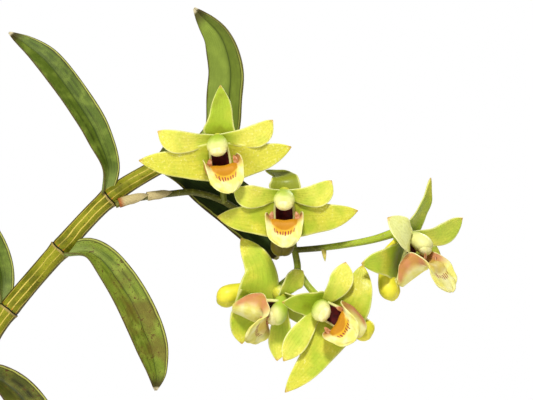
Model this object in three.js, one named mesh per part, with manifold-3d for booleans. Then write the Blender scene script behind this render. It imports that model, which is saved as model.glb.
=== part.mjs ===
// A potted Dendrobium catenatum in flower: a clump of jointed canes in a plain clay pot of bark, with one
// cane that arches to the right and carries a spray of five blooms. Millimetres, +Z up, the origin at the
// middle of the pot's underside, and the spray in the XZ plane, facing -Y.
import * as THREE from "three";
import { mergeVertices } from "three/addons/utils/BufferGeometryUtils.js";
import Module from "manifold-3d";

const wasm = await Module();
wasm.setup();

// Driving dimensions
const GAP = 0.3;
const POT = {
  height: 84, base: 33, top: 44, rim: 48, rimHeight: 15, floor: 5, lip: 1.2,
  insideFoot: 30, insideMouth: 43, sides: 28,
};
const DRAIN = { radius: 4, ring: 18, count: 4, sides: 12 };
const MIX = { top: 75, holeFloor: 64, sides: 20, rings: 5, crown: 2.2, waves: 1.4, wavelengths: [20, 17] };
const CHIPS = { count: 24, length: 9, width: 5.5, depth: 4, lift: 0.6, spread: 1.6, tilt: 0.9, seed: 7 };
const CANE_FOOT = MIX.holeFloor + GAP;
const CANE = { sides: 9, swell: 1.14, taper: 12, sheath: 1.3, collar: 1.1, footTaper: 1.5, endTaper: 0.8 };
const LEAF = { thick: 0.8, rows: 8, cols: 4, bend: 24, fold: 0.28, seat: 1.1 };
const BLADE = { thick: 0.7, rows: 5, cols: 4 };
const STALK = { sides: 6, tinySides: 5 };
const BRACT = { thick: 0.6, rows: 5, cols: 6, facing: [0, 1, -0.4] };
const NECK = { radius: 2.1, back: 2.4, sides: 8, rows: 5 };
const GOLDEN_ANGLE = 2.399963;

// Widths [share of length, width]: a leaf's are shares of its own width, and a bloom's are millimetres.
const LEAF_WIDTHS = [[0, 0.26], [0.1, 0.38], [0.28, 0.85], [0.5, 1], [0.75, 0.93], [0.9, 0.55], [1, 0.09]];
const DORSAL = { bends: 30, start: [0, -0.4, -1.6],
  widths: [[0, 5.2], [0.18, 8], [0.4, 6.2], [0.6, 5.4], [0.82, 3.1], [1, 0.8]] };
const PETAL = { bends: 22, start: [0.4, 0.2, -0.9],
  widths: [[0, 2.4], [0.3, 3.9], [0.65, 5.9], [0.88, 3.9], [1, 0.9]] };
const SEPAL = { bends: 20, start: [-0.8, -5.8, -1.5],
  widths: [[0, 11], [0.25, 9.8], [0.5, 7.5], [0.75, 5.6], [0.9, 3.4], [1, 0.9]] };

// The lip's midrib runs [up, forward] from the column's foot, under the column and down at the front; its
// bend across, in degrees, makes it a trough with its side lobes up, then turns its front edge down.
const LIP = {
  path: [[-12.2, 2], [-9.6, 3.8], [-6.3, 6.6], [-7, 9.2], [-10.2, 11.4]],
  widths: [[0, 3.4], [0.2, 9], [0.4, 12.6], [0.56, 10], [0.72, 8.6], [0.88, 5.8], [1, 1.8]],
  bends: [[0, 60], [0.2, 160], [0.4, 185], [0.56, 105], [0.72, 50], [0.88, 8], [1, -25]],
  rows: 7, cols: 6,
};

// The column is a hood, hollow underneath behind the anther cap, on a foot that runs down to the lip.
const HOOD = {
  path: [[0, 0], [0.1, 2.6], [-0.3, 4.8], [-1, 6.2]],
  rings: [[0, 1.9], [0.3, 2.2], [0.65, 2.4], [0.88, 2.1], [1, 1.1]],
  sides: 8, flat: 0.85,
  hollow: { at: [-2.4, 4.4], size: [1.6, 1.1, 1.7], sides: 6, rows: 5 },
};
const FOOT = {
  path: [[-0.6, 0.9], [-5, 0.7], [-11.2, 1]],
  widths: [[0, 3.6], [0.5, 3.2], [1, 2.4]],
  bends: 40, thick: 1, rows: 4, cols: 2,
};

// The chin that the side sepals make behind the lip, from the neck to the bloom's own chin point.
const CHIN = {
  path: [[-1.5, -2], [-7, -2.7]],
  rings: [[0, 1.2], [0.4, 2.3], [0.7, 3.1], [0.88, 2.7], [0.97, 1.5], [1, 0.5]],
  sides: 8, flat: 0.85,
};

const COLORS = {
  clay: ["#b5633c", 0.85],
  bark: ["#6b4429", 0.95],
  cane: ["#7f8a35", 0.5],
  oldCane: ["#a8935a", 0.7],
  leaf: ["#4f6b22", 0.4],
  stalk: ["#6c7a22", 0.5],
  paper: ["#cfc09a", 0.8],
  sepal: ["#bcc63e", 0.5],
  lip: ["#ece7a0", 0.5],
  column: ["#dfe6a6", 0.45],
};

// The main cane's axis, from the foot in the bark to the end behind the top bloom, and its joints as
// shares of its length.
const CANES = {
  main_cane: {
    path: [[0, 0, CANE_FOOT], [0, 0, 100], [2.5, 0, 123], [8, 0, 145.5], [14, 0, 164], [19.2, 0, 177],
      [24.7, 0, 185.7], [37.5, 0, 200.7], [49.7, 0, 213.5], [61, 0.5, 220.8], [68, 2, 224]],
    joints: [0.11, 0.225, 0.34, 0.455, 0.57, 0.6815, 0.7885, 0.8845, 0.972],
    radius: 2.55,
    tip: 1.8,
    color: "cane",
  },
  left_cane: {
    path: [[-15, 10, CANE_FOOT], [-16, 11, 90], [-21, 13, 118], [-30, 16, 143], [-41, 19, 163]],
    joints: [0.18, 0.35, 0.51, 0.67, 0.83],
    radius: 2.2,
    tip: 1.5,
    color: "cane",
  },
  old_cane: {
    path: [[14, 15, CANE_FOOT], [17, 19, 88], [23, 25, 110], [31, 30, 132], [38, 33, 148]],
    joints: [0.2, 0.38, 0.56, 0.73, 0.88],
    radius: 2.1,
    tip: 1.2,
    color: "oldCane",
  },
  young_cane: {
    path: [[-2, -17, CANE_FOOT], [-3, -19, 80], [-7, -23, 97], [-13, -27, 113]],
    joints: [0.3, 0.55, 0.78],
    radius: 1.9,
    tip: 1.4,
    color: "cane",
  },
};

// Each leaf: its cane and joint, its midrib past the joint, where its upper face looks at the base, the
// turn of that face by the tip in degrees, and its width.
const LEAVES = [
  { name: "leaf_upper_left", cane: "main_cane", joint: 7, width: 7.9, facing: [0.55, -0.78, 0.3], turn: 0,
    path: [[50, -1, 221], [48.2, -1, 227.5], [44.2, -0.5, 234.6], [35, 0.5, 247.2], [24.7, 2, 255]] },
  { name: "leaf_top", cane: "main_cane", joint: 8, width: 9.8, facing: [-0.22, -0.93, 0.25], turn: 0,
    path: [[67.4, 7, 225.6], [72.8, 8, 226.2], [77, 7.6, 230.6], [78.7, 6.8, 239], [79.2, 6.2, 246.6],
      [76.6, 6, 254.4], [70.8, 7, 261.4]] },
  { name: "leaf_right", cane: "main_cane", joint: 6, width: 8.9, facing: [0.1, -0.75, 0.66], turn: 10,
    path: [[45.8, -1.5, 199.6], [52.4, -2.5, 192.8], [58.8, -3.5, 181], [61.5, -4, 171.5],
      [61.6, -4, 165.6]] },
  { name: "leaf_left", cane: "main_cane", joint: 5, width: 9, facing: [0.55, -0.78, 0.3], turn: 0,
    path: [[23.4, 1, 193.4], [21.6, 1.5, 199.6], [17.4, 2, 206], [7.5, 3, 217.5], [-3.5, 4, 223.5]] },
  { name: "leaf_lower_right", cane: "main_cane", joint: 4, width: 9.8, facing: [0.1, -0.75, 0.66], turn: 10,
    path: [[21.2, -1.5, 168.8], [28.6, -3, 163], [35.8, -5, 151], [39.6, -6.5, 141], [40.5, -7, 134]] },
  { name: "leaf_lower_left", cane: "main_cane", joint: 3, width: 9.4, facing: [0.5, -0.8, 0.35], turn: -8,
    path: [[3.4, -1, 152], [-2.5, -1, 159.5], [-11, -0.5, 166.5], [-23, 0.5, 171], [-34, 2, 170.5]] },
  { name: "leaf_low_right", cane: "main_cane", joint: 2, width: 9.6, facing: [0.1, -0.7, 0.7], turn: 12,
    path: [[10, -1, 128.2], [18, -3, 128.5], [28, -5, 124], [36, -7, 114], [39.5, -8.5, 103]] },
  { name: "leaf_shaded", cane: "main_cane", joint: 8, width: 12.4, facing: [0.1, -0.97, 0.1], turn: 0,
    fold: 0.12, path: [[69.8, 6.2, 219], [76, 9.2, 215.4], [85.2, 10.4, 207.8], [92, 10.8, 198]] },
  { name: "left_cane_leaf_1", cane: "left_cane", joint: 1, width: 9.4, facing: [-0.2, -0.75, 0.66], turn: 0,
    path: [[-24, 10, 117], [-33, 8, 120], [-45, 6, 117], [-54, 4, 107]] },
  { name: "left_cane_leaf_2", cane: "left_cane", joint: 2, width: 9.4, facing: [0.2, -0.75, 0.6], turn: 0,
    path: [[-16, 12, 138], [-11, 14, 147], [-7, 17, 158], [-6, 21, 170]] },
  { name: "left_cane_leaf_3", cane: "left_cane", joint: 3, width: 9.6, facing: [-0.3, -0.7, 0.66], turn: 0,
    path: [[-39, 14, 152], [-48, 12, 156], [-59, 10, 154], [-68, 8, 145]] },
  { name: "left_cane_leaf_4", cane: "left_cane", joint: 4, width: 9, facing: [0.4, -0.8, 0.3], turn: 0,
    path: [[-34, 20, 164.5], [-32, 21, 174], [-33, 23, 186], [-38, 26, 198]] },
  { name: "young_cane_leaf_1", cane: "young_cane", joint: 0, width: 8.6, facing: [-0.3, -0.5, 0.8], turn: 0,
    path: [[2.6, -21, 91], [11, -25, 96], [21, -29, 96], [30, -33, 90]] },
  { name: "young_cane_leaf_2", cane: "young_cane", joint: 1, width: 8.6, facing: [-0.1, -0.6, 0.8], turn: 0,
    path: [[-12, -21, 95.5], [-21, -22, 100], [-32, -24, 98.5], [-40, -27, 91]] },
  { name: "young_cane_leaf_3", cane: "young_cane", joint: 2, width: 8.2, facing: [-0.6, -0.5, 0.6], turn: 0,
    path: [[-6, -30, 113], [-3, -33, 122], [0, -37, 132], [5, -42, 140]] },
];

// Each bloom: its middle, the way it faces and its upward direction, then the middle and tip of each
// outer part as offsets from the bloom's middle, and the end of its chin.
const BLOOMS = [
  { name: "bloom_top", at: [77, -7, 227.75], forward: [0, -0.96, -0.27], up: [-0.15, 0, 1],
    dorsal: [[0.9, -1.2, 7], [0.75, -3, 13.6]],
    petals: [[[-9.6, -2.6, -0.4], [-14.8, -2.6, 2.2]], [[9.4, -2.6, 1.1], [13.7, -2.4, 5]]],
    sepals: [[[-10, -0.4, -5.6], [-19.5, -0.8, -5]], [[9.4, -0.4, -4.4], [18.3, -0.8, -1.6]]],
    chin: [0.4, 2.4, -11.4] },
  { name: "bloom_middle", at: [93.5, -6, 214], forward: [0, -0.98, -0.18], up: [0, 0, 1],
    dorsal: [[-0.6, 1.6, 3.2], [-2.8, 8, 4]],
    petals: [[[-8.2, -2.6, -0.2], [-12.6, -2.4, 1.6]], [[8, -2.6, 0.1], [11.8, -2.2, 3.8]]],
    sepals: [[[-9.6, -0.6, -5.6], [-16.6, -0.8, -5.2]], [[10.6, -0.6, -5.2], [18.3, -0.8, -3.6]]],
    chin: [-0.6, 1, -15.2] },
  { name: "bloom_lower_left", at: [92.75, -3, 188], forward: [0.05, -0.64, -0.77], up: [0.99, 0, 0.03],
    dorsal: [[4.6, 3.2, -3.4], [9.6, 5.6, -6]],
    petals: [[[2.4, -0.6, 4], [5.5, 0.6, 7.4]], [[-0.2, 2.2, -8.6], [-1, 2.6, -15.2]]],
    sepals: [[[-5.4, 1.4, 8], [-10, 2, 15.5]], [[-9.6, 2, -5], [-9.8, 3.2, -11]]],
    chin: [-16.2, 1.6, 0.7] },
  { name: "bloom_lower_right", at: [102.8, -9, 186.7], forward: [-0.1, -0.96, -0.2], up: [-0.87, 0, 0.49],
    dorsal: [[-5.4, -3, 1], [-9.8, -6, 1.2]],
    petals: [[[-5.6, -2.8, -7.4], [-9.5, -2.8, -13.4]], [[4.2, -2.4, 5.4], [5.9, -2, 11]]],
    sepals: [[[-2, -0.8, -13], [-9.1, -1.2, -21.2]], [[8.4, -0.4, 1.8], [10.2, 2, 10.2]]],
    chin: [12.2, 1.4, -7.4] },
  { name: "bloom_right", at: [124.5, -4, 203.75], forward: [0.83, -0.5, -0.25], up: [0.3, 0, 0.95],
    dorsal: [[3.8, 0, 7.8], [5.5, 0.4, 14.8]],
    petals: [[[-1.6, -5.4, 1], [-4.6, -9.6, 3.4]], [[7.8, 4.4, 0.4], [13.8, 6.2, 4.8]]],
    sepals: [[[-6.4, -6, -5.8], [-12, -8.6, -6.4]], [[4, 8.4, -3.6], [8.6, 13.2, -4.6]]],
    chin: [-4.2, 0.6, -15.8] },
];

// The flower stalk's main run and side branches, each as its points and its two end radii. A branch that
// ends at a bloom has its last point worked out from the bloom's own neck.
const RUNS = [
  { points: [[53, -1.1, 211.1], [58.8, 0, 213.7], [65.5, 1.5, 214.6], [71.2, 3, 214.9], [78.8, 4.4, 212.4],
    [88, 4.6, 206], [96.5, 3.4, 200.4]], radii: [1, 0.8] },
  { points: [[78.4, 4.4, 212.4], [78, 2.4, 219], [77.4, 1.2, 225]], bloom: 0, radii: [0.8, 1] },
  { points: [[96, 3.6, 200.6], [95.6, 3.6, 206], [94.2, 2.6, 211]], bloom: 1, radii: [0.8, 1] },
  { points: [[96.2, 3.5, 200.6], [96.9, 3.2, 195.6], [95.2, 2.8, 193.6]], bloom: 2, radii: [0.85, 1] },
  { points: [[96.8, 3.2, 195.8], [99.2, 1.8, 192], [101.6, -0.6, 189.2]], bloom: 3, radii: [0.8, 1] },
  { points: [[96, 3.5, 200.4], [103, 2, 201], [110, 0.6, 202], [116, -0.6, 203.2]], bloom: 4,
    radii: [0.75, 0.95] },
];
const BRACTS = [
  { name: "bract_lower", from: 0.012, to: 0.16, radius: 1.5, wrap: 230 },
  { name: "bract_upper", from: 0.175, to: 0.3, radius: 1.42, wrap: 210 },
];
const TINY_BRACT = {
  path: [[103.4, 1.8, 201.3], [103.8, 1, 197.6]],
  rings: [[0, 0.7], [0.5, 0.6], [1, 0.3]],
};

// Helpers

const vector = (p) => new THREE.Vector3(...p);

// A value between the stations [share, value], on a smooth curve through them.
function between(stations, share) {
  const last = stations.length - 1;
  let k = 0;
  while (k < last - 1 && share > stations[k + 1][0]) k += 1;
  const slope = (i) => {
    const a = stations[Math.max(i - 1, 0)];
    const b = stations[Math.min(i + 1, last)];
    return (b[1] - a[1]) / (b[0] - a[0]);
  };
  const [x0, y0] = stations[k];
  const [x1, y1] = stations[k + 1];
  const span = x1 - x0;
  const t = (share - x0) / span;
  const rise = (1 + 2 * t) * (1 - t) * (1 - t) * y0 + t * t * (3 - 2 * t) * y1;
  return rise + span * (t * (1 - t) * (1 - t) * slope(k) - t * t * (1 - t) * slope(k + 1));
}

const curveThrough = (points) => new THREE.CatmullRomCurve3(points.map(vector), false, "catmullrom", 0.5);

// Places along a curve, each with its direction and a facing that turns no more than the curve does.
function framesAlong(points, facing, shares, turn = 0) {
  const curve = curveThrough(points);
  const face = vector(facing);
  return shares.map((share) => {
    const direction = curve.getTangentAt(share);
    face.addScaledVector(direction, -face.dot(direction)).normalize();
    const turned = face.clone().applyAxisAngle(direction, THREE.MathUtils.degToRad(turn * share));
    return { at: curve.getPointAt(share), direction, face: turned };
  });
}

const evenShares = (rows) => Array.from({ length: rows + 1 }, (_, i) => i / rows);

// Gives a sheet its thickness: the far face repeats the near one's triangles turned round, and a rim
// joins the two, so that both faces are split alike.
function thicken(sheet, thick) {
  sheet.computeVertexNormals();
  const { position, normal } = sheet.attributes;
  const count = position.count;
  const near = [];
  const far = [];
  for (let i = 0; i < count; i++) {
    const p = new THREE.Vector3().fromBufferAttribute(position, i);
    const n = new THREE.Vector3().fromBufferAttribute(normal, i);
    near.push(...p.clone().addScaledVector(n, thick / 2).toArray());
    far.push(...p.addScaledVector(n, -thick / 2).toArray());
  }
  const faces = Array.from(sheet.index.array);
  const used = new Set();
  for (let i = 0; i < faces.length; i += 3)
    for (let e = 0; e < 3; e++) used.add(faces[i + e] * count + faces[i + ((e + 1) % 3)]);
  const all = [...faces];
  for (let i = 0; i < faces.length; i += 3)
    all.push(faces[i] + count, faces[i + 2] + count, faces[i + 1] + count);
  for (const edge of used) {
    const a = Math.floor(edge / count);
    const b = edge % count;
    if (!used.has(b * count + a)) all.push(b, a, a + count, b, a + count, b + count);
  }
  return new THREE.BufferGeometry()
    .setAttribute("position", new THREE.BufferAttribute(new Float32Array([...near, ...far]), 3))
    .setIndex(all);
}

// A leaf, sepal, petal or lip: a grid laid along a midrib, as wide as its stations say, bent across as an
// arc, and folded along the midrib.
function blade({ points, facing, widths, bends = 0, fold = 0, turn = 0, thick, rows, cols }) {
  const sheet = new THREE.PlaneGeometry(1, 1, cols, rows);
  sheet.deleteAttribute("uv");
  const frames = framesAlong(points, facing, evenShares(rows), turn);
  const position = sheet.attributes.position;
  for (let i = 0; i < position.count; i++) {
    const across = 2 * position.getX(i);
    const share = position.getY(i) + 0.5;
    const { at, direction, face } = frames[Math.round(share * rows)];
    const side = direction.clone().cross(face);
    const width = between(widths, share);
    const bend = THREE.MathUtils.degToRad(Array.isArray(bends) ? between(bends, share) : bends);
    const curl = Math.abs(bend) < 0.01 ? 0.01 : bend;
    const reach = (width / curl) * Math.sin((across * curl) / 2);
    const lift = (width / curl) * (1 - Math.cos((across * curl) / 2)) + (fold * Math.abs(across) * width) / 2;
    const p = at.clone().addScaledVector(side, reach).addScaledVector(face, lift);
    position.setXYZ(i, p.x, p.y, p.z);
  }
  return thicken(sheet, thick);
}

// A round stem along a curve, with a radius at each of its rings [share, radius].
function rod(points, facing, rings, sides, flat = 1) {
  const tube = new THREE.CylinderGeometry(1, 1, 1, sides, rings.length - 1);
  const frames = framesAlong(points, facing, rings.map((ring) => ring[0]));
  const position = tube.attributes.position;
  for (let i = 0; i < position.count; i++) {
    const row = Math.round((position.getY(i) + 0.5) * (rings.length - 1));
    const { at, direction, face } = frames[row];
    const radius = rings[row][1];
    const p = at
      .clone()
      .addScaledVector(face, position.getX(i) * radius * flat)
      .addScaledVector(face.clone().cross(direction), position.getZ(i) * radius);
    position.setXYZ(i, p.x, p.y, p.z);
  }
  return tube;
}

function solid(geometry) {
  const bare = geometry.clone();
  bare.deleteAttribute("normal");
  bare.deleteAttribute("uv");
  const merged = mergeVertices(bare, 1e-3);
  return new wasm.Manifold(
    new wasm.Mesh({
      numProp: 3,
      vertProperties: merged.attributes.position.array,
      triVerts: new Uint32Array(merged.index.array),
    }),
  );
}

const largest = (body) => body.decompose().reduce((a, b) => (a.volume() > b.volume() ? a : b));

function geometryOf(body) {
  const mesh = body.getMesh();
  return new THREE.BufferGeometry()
    .setAttribute("position", new THREE.BufferAttribute(new Float32Array(mesh.vertProperties), 3))
    .setIndex(new THREE.BufferAttribute(new Uint32Array(mesh.triVerts), 1));
}

const plant = new THREE.Group();

function addPiece(name, geometry, finish) {
  const [color, roughness] = COLORS[finish];
  const mesh = new THREE.Mesh(geometry, new THREE.MeshStandardMaterial({ color, roughness, metalness: 0 }));
  mesh.name = name;
  plant.add(mesh);
}

// Evenly spread random draws between 0 and 1 from a fixed seed.
function draws(seed) {
  let state = seed;
  return () => {
    state = (state * 16807) % 2147483647;
    return state / 2147483647;
  };
}

// Pot and bark

function turned(profile, sides) {
  const points = profile.map(([radius, height]) => new THREE.Vector2(radius, height));
  return new THREE.LatheGeometry(points, sides).rotateX(Math.PI / 2);
}

const insideRadius = (height) =>
  POT.insideFoot + ((POT.insideMouth - POT.insideFoot) * (height - POT.floor)) / (POT.height - POT.floor);

function pot() {
  const under = POT.height - POT.rimHeight;
  const body = solid(
    turned(
      [
        [0, 0],
        [POT.base - POT.lip, 0],
        [POT.base, POT.lip],
        [POT.top, under],
        [POT.rim - POT.lip, under],
        [POT.rim, under + POT.lip],
        [POT.rim, POT.height - POT.lip],
        [POT.rim - POT.lip, POT.height],
        [insideRadius(POT.height) + POT.lip, POT.height],
        [insideRadius(POT.height - POT.lip), POT.height - POT.lip],
        [insideRadius(POT.floor), POT.floor],
        [0, POT.floor],
      ],
      POT.sides,
    ),
  );
  let drained = body;
  for (let i = 0; i < DRAIN.count; i++) {
    const turn = ((i + 0.5) / DRAIN.count) * 2 * Math.PI;
    const drill = new THREE.CylinderGeometry(DRAIN.radius, DRAIN.radius, 3 * POT.floor, DRAIN.sides)
      .rotateX(Math.PI / 2)
      .translate(DRAIN.ring * Math.cos(turn), DRAIN.ring * Math.sin(turn), POT.floor / 2);
    drained = drained.subtract(solid(drill));
  }
  return geometryOf(drained);
}

// One flake of bark, tilted and turned by the draws, at its place in a spiral that fills the pot's mouth.
function chip(index, draw, reach) {
  const away = reach * Math.sqrt((index + 0.5) / CHIPS.count);
  const turn = index * GOLDEN_ANGLE;
  const length = CHIPS.length * (0.75 + 0.6 * draw());
  const width = CHIPS.width * (0.7 + 0.5 * draw());
  return new THREE.BoxGeometry(length, width, CHIPS.depth)
    .rotateX(CHIPS.tilt * (draw() - 0.5))
    .rotateY(CHIPS.tilt * (draw() - 0.5))
    .rotateZ(Math.PI * draw())
    .translate(away * Math.cos(turn), away * Math.sin(turn), MIX.top + CHIPS.lift + CHIPS.spread * draw());
}

// The plain hole in the bark that a cane stands in, along the cane's own lean.
function caneHole({ path: [foot, next], radius }) {
  const rise = (2 * (MIX.top - MIX.holeFloor)) / (next[2] - foot[2]);
  const bottom = vector([foot[0], foot[1], MIX.holeFloor]);
  const top = vector(next).sub(vector(foot)).multiplyScalar(rise).add(bottom);
  const across = radius * CANE.swell + GAP;
  return rod([bottom.toArray(), top.toArray()], [1, 0, 0], [[0, across], [1, across + GAP]], CANE.sides);
}

function pottingMix() {
  const rim = insideRadius(MIX.top) - GAP;
  const shares = Array.from({ length: MIX.rings }, (_, i) => 1 - i / MIX.rings);
  const profile = [
    [0, POT.floor + GAP],
    [POT.insideFoot - GAP, POT.floor + GAP],
    ...shares.map((share) => [rim * share, MIX.top]),
    [0, MIX.top],
  ];
  const heap = turned(profile, MIX.sides);
  const position = heap.attributes.position;
  const [waveX, waveY] = MIX.wavelengths.map((length) => (2 * Math.PI) / length);
  for (let i = 0; i < position.count; i++) {
    const [x, y, z] = [position.getX(i), position.getY(i), position.getZ(i)];
    const inside = 1 - Math.hypot(x, y) / rim;
    const wave = MIX.waves * Math.sin(waveX * x) * Math.cos(waveY * y);
    if (z > MIX.top - GAP && inside > 1e-3) position.setZ(i, z + (MIX.crown + wave) * Math.sqrt(inside));
  }
  let bed = solid(heap);
  const draw = draws(CHIPS.seed);
  for (let i = 0; i < CHIPS.count; i++) bed = bed.add(solid(chip(i, draw, rim - CHIPS.length)));
  for (const cane of Object.values(CANES)) bed = bed.subtract(solid(caneHole(cane)));
  return geometryOf(largest(bed));
}

// Canes and leaves

const caneRadius = ({ radius, tip }, share) => radius + (tip - radius) * share ** CANE.taper;

// A cane's rings: each joint is a swollen ring over the mouth of the sheath below it.
function caneRings(cane) {
  const length = curveThrough(cane.path).getLength();
  const ring = (share, part) => [share, caneRadius(cane, share) * part];
  const rings = [ring(0, 0.8), ring(CANE.footTaper / length, 1.08)];
  cane.joints.forEach((joint, i) => {
    const start = i > 0 ? cane.joints[i - 1] : 0;
    if (i > 0) rings.push(ring(start + CANE.sheath / length, 1.02));
    rings.push(ring((start + joint) / 2, 0.97));
    rings.push(ring(joint - CANE.collar / length, 1.05), ring(joint, CANE.swell));
  });
  const last = cane.joints.at(-1);
  rings.push(ring(last + CANE.sheath / length, 1.02), ring(1 - CANE.endTaper / length, 1), ring(1, 0.6));
  return rings;
}

// The point beside a cane's joint where a leaf sits, on the side of the given point.
function seatOn(cane, joint, toward) {
  const curve = curveThrough(cane.path);
  const share = cane.joints[joint];
  const axis = curve.getTangentAt(share);
  const at = curve.getPointAt(share);
  const side = vector(toward).sub(at);
  side.addScaledVector(axis, -side.dot(axis)).normalize();
  return at.addScaledVector(side, caneRadius(cane, share) * CANE.swell + LEAF.seat).toArray();
}

function leaf({ cane, joint, path, facing, turn, width, fold = LEAF.fold }) {
  const points = [seatOn(CANES[cane], joint, path[0]), ...path];
  const widths = LEAF_WIDTHS.map(([share, part]) => [share, part * width]);
  return blade({ ...LEAF, points, facing, widths, bends: LEAF.bend, fold, turn });
}

// Flower stalk

const bloomFrame = ({ at, forward, up }) => {
  const f = vector(forward).normalize();
  const r = vector(up).cross(f).normalize();
  return { at: vector(at), f, r, u: f.clone().cross(r) };
};

// A point of a bloom from its right, up and forward distances.
function inBloom(frame, right, up, forward) {
  return frame.at
    .clone()
    .addScaledVector(frame.r, right)
    .addScaledVector(frame.u, up)
    .addScaledVector(frame.f, forward)
    .toArray();
}

const stalkRings = ([a, b], rows) => evenShares(rows).map((share) => [share, a + (b - a) * share]);

function run({ points, bloom, radii }) {
  const ends = bloom === undefined ? [] : [inBloom(bloomFrame(BLOOMS[bloom]), 0, 0, -2 * (NECK.back + GAP))];
  return solid(rod([...points, ...ends], [0, 1, 0.1], stalkRings(radii, 2 * points.length), STALK.sides));
}

function flowerStalk() {
  const tiny = solid(rod(TINY_BRACT.path, [0, 1, 0], TINY_BRACT.rings, STALK.tinySides));
  return geometryOf(RUNS.map(run).reduce((a, b) => a.add(b), tiny));
}

// A papery bract wrapped round a stretch of the stalk's main run, and narrowing to its point.
function bract({ from, to, radius, wrap }) {
  const shares = evenShares(3).map((share) => from + (to - from) * share);
  const frames = framesAlong(RUNS[0].points, BRACT.facing, shares);
  const points = frames.map(({ at, face }) => at.clone().addScaledVector(face, -radius).toArray());
  const width = THREE.MathUtils.degToRad(wrap) * radius;
  const narrowing = [[0, 1], [0.6, 0.95], [0.85, 0.6], [1, 0.15]];
  const scaled = (size) => narrowing.map(([share, part]) => [share, part * size]);
  return blade({ ...BRACT, points, widths: scaled(width), bends: scaled(wrap) });
}

// Blooms

// The column, or, with some spare, the room that it takes up.
function column(frame, spare = 0) {
  const place = ([up, forward]) => inBloom(frame, 0, up, forward);
  const wider = (stations, extra) => stations.map(([share, size]) => [share, size + extra]);
  const [root, ...bends] = HOOD.path;
  const hoodPath = [[root[0], root[1] - spare], ...bends].map(place);
  const hood = rod(hoodPath, frame.u.toArray(), wider(HOOD.rings, spare), HOOD.sides, HOOD.flat);
  const [top, middle, end] = FOOT.path;
  const foot = blade({
    ...FOOT,
    points: [top, middle, [end[0] - spare, end[1]]].map(place),
    facing: frame.f.toArray(),
    widths: wider(FOOT.widths, 2 * spare),
    thick: FOOT.thick + 2 * spare,
  });
  const joined = solid(hood).add(solid(foot));
  if (spare > 0) return joined;
  const { at, size, sides, rows } = HOOD.hollow;
  const basis = new THREE.Matrix4().makeBasis(frame.r, frame.u, frame.f).setPosition(...place(at));
  const hollow = new THREE.SphereGeometry(1, sides, rows).scale(...size).applyMatrix4(basis);
  return largest(joined.subtract(solid(hollow)));
}

// The lip, or, with some spare, the room that it takes up.
function lip(frame, spare = 0) {
  const [[up, forward], ...others] = LIP.path;
  return solid(
    blade({
      ...LIP,
      points: [[up, forward - spare], ...others].map((place) => inBloom(frame, 0, ...place)),
      facing: frame.u.toArray(),
      widths: LIP.widths.map(([share, width]) => [share, width + 2 * spare]),
      thick: BLADE.thick + 2 * spare,
    }),
  );
}

// The sepals and petals, fused at the neck and along the chin, and cut clear of the lip and column.
function perianth(bloom, frame) {
  const offset = (p) => vector(bloom.at).add(vector(p)).toArray();
  const facing = frame.f.toArray();
  const part = ({ start: [right, up, forward], widths, bends }, hand, ends) => {
    const points = [inBloom(frame, hand * right, up, forward), ...ends.map(offset)];
    return solid(blade({ ...BLADE, points, facing, widths, bends }));
  };
  const chinPath = [...CHIN.path.map((place) => inBloom(frame, 0, ...place)), offset(bloom.chin)];
  const neck = new THREE.SphereGeometry(NECK.radius, NECK.sides, NECK.rows);
  const pieces = [
    part(DORSAL, 1, bloom.dorsal),
    part(PETAL, -1, bloom.petals[0]),
    part(PETAL, 1, bloom.petals[1]),
    part(SEPAL, -1, bloom.sepals[0]),
    part(SEPAL, 1, bloom.sepals[1]),
    solid(rod(chinPath, facing, CHIN.rings, CHIN.sides, CHIN.flat)),
  ];
  const whole = pieces.reduce((a, b) => a.add(b), solid(neck.translate(...inBloom(frame, 0, 0, -NECK.back))));
  return largest(whole.subtract(column(frame, GAP)).subtract(lip(frame, GAP)));
}

// The whole plant

addPiece("pot", pot(), "clay");
addPiece("potting_mix", pottingMix(), "bark");
for (const [name, cane] of Object.entries(CANES))
  addPiece(name, rod(cane.path, [0, 1, 0], caneRings(cane), CANE.sides), cane.color);
for (const entry of LEAVES) addPiece(entry.name, leaf(entry), "leaf");
addPiece("flower_stalk", flowerStalk(), "stalk");
for (const entry of BRACTS) addPiece(entry.name, bract(entry), "paper");
for (const bloom of BLOOMS) {
  const frame = bloomFrame(bloom);
  addPiece(`${bloom.name}_sepals_and_petals`, geometryOf(perianth(bloom, frame)), "sepal");
  addPiece(`${bloom.name}_lip`, geometryOf(lip(frame)), "lip");
  addPiece(`${bloom.name}_column`, geometryOf(column(frame)), "column");
}

export default plant;
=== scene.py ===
"""A potted Dendrobium catenatum in flower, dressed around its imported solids.

A clump of jointed canes stands in a clay pot of bark. One cane arches to the right and carries a spray of
five yellow-green blooms. Sizes are in millimetres until a piece is finished. +Z is up, and the spray faces
-Y.
"""
import logging
import math
from dataclasses import dataclass
from enum import Enum
from typing import Callable, Sequence

import bmesh
import bpy
from bmesh.types import BMesh, BMFace, BMVert
from bpy.types import Material, NodeSocket, Object
from mathutils import Matrix, Vector, noise


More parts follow.
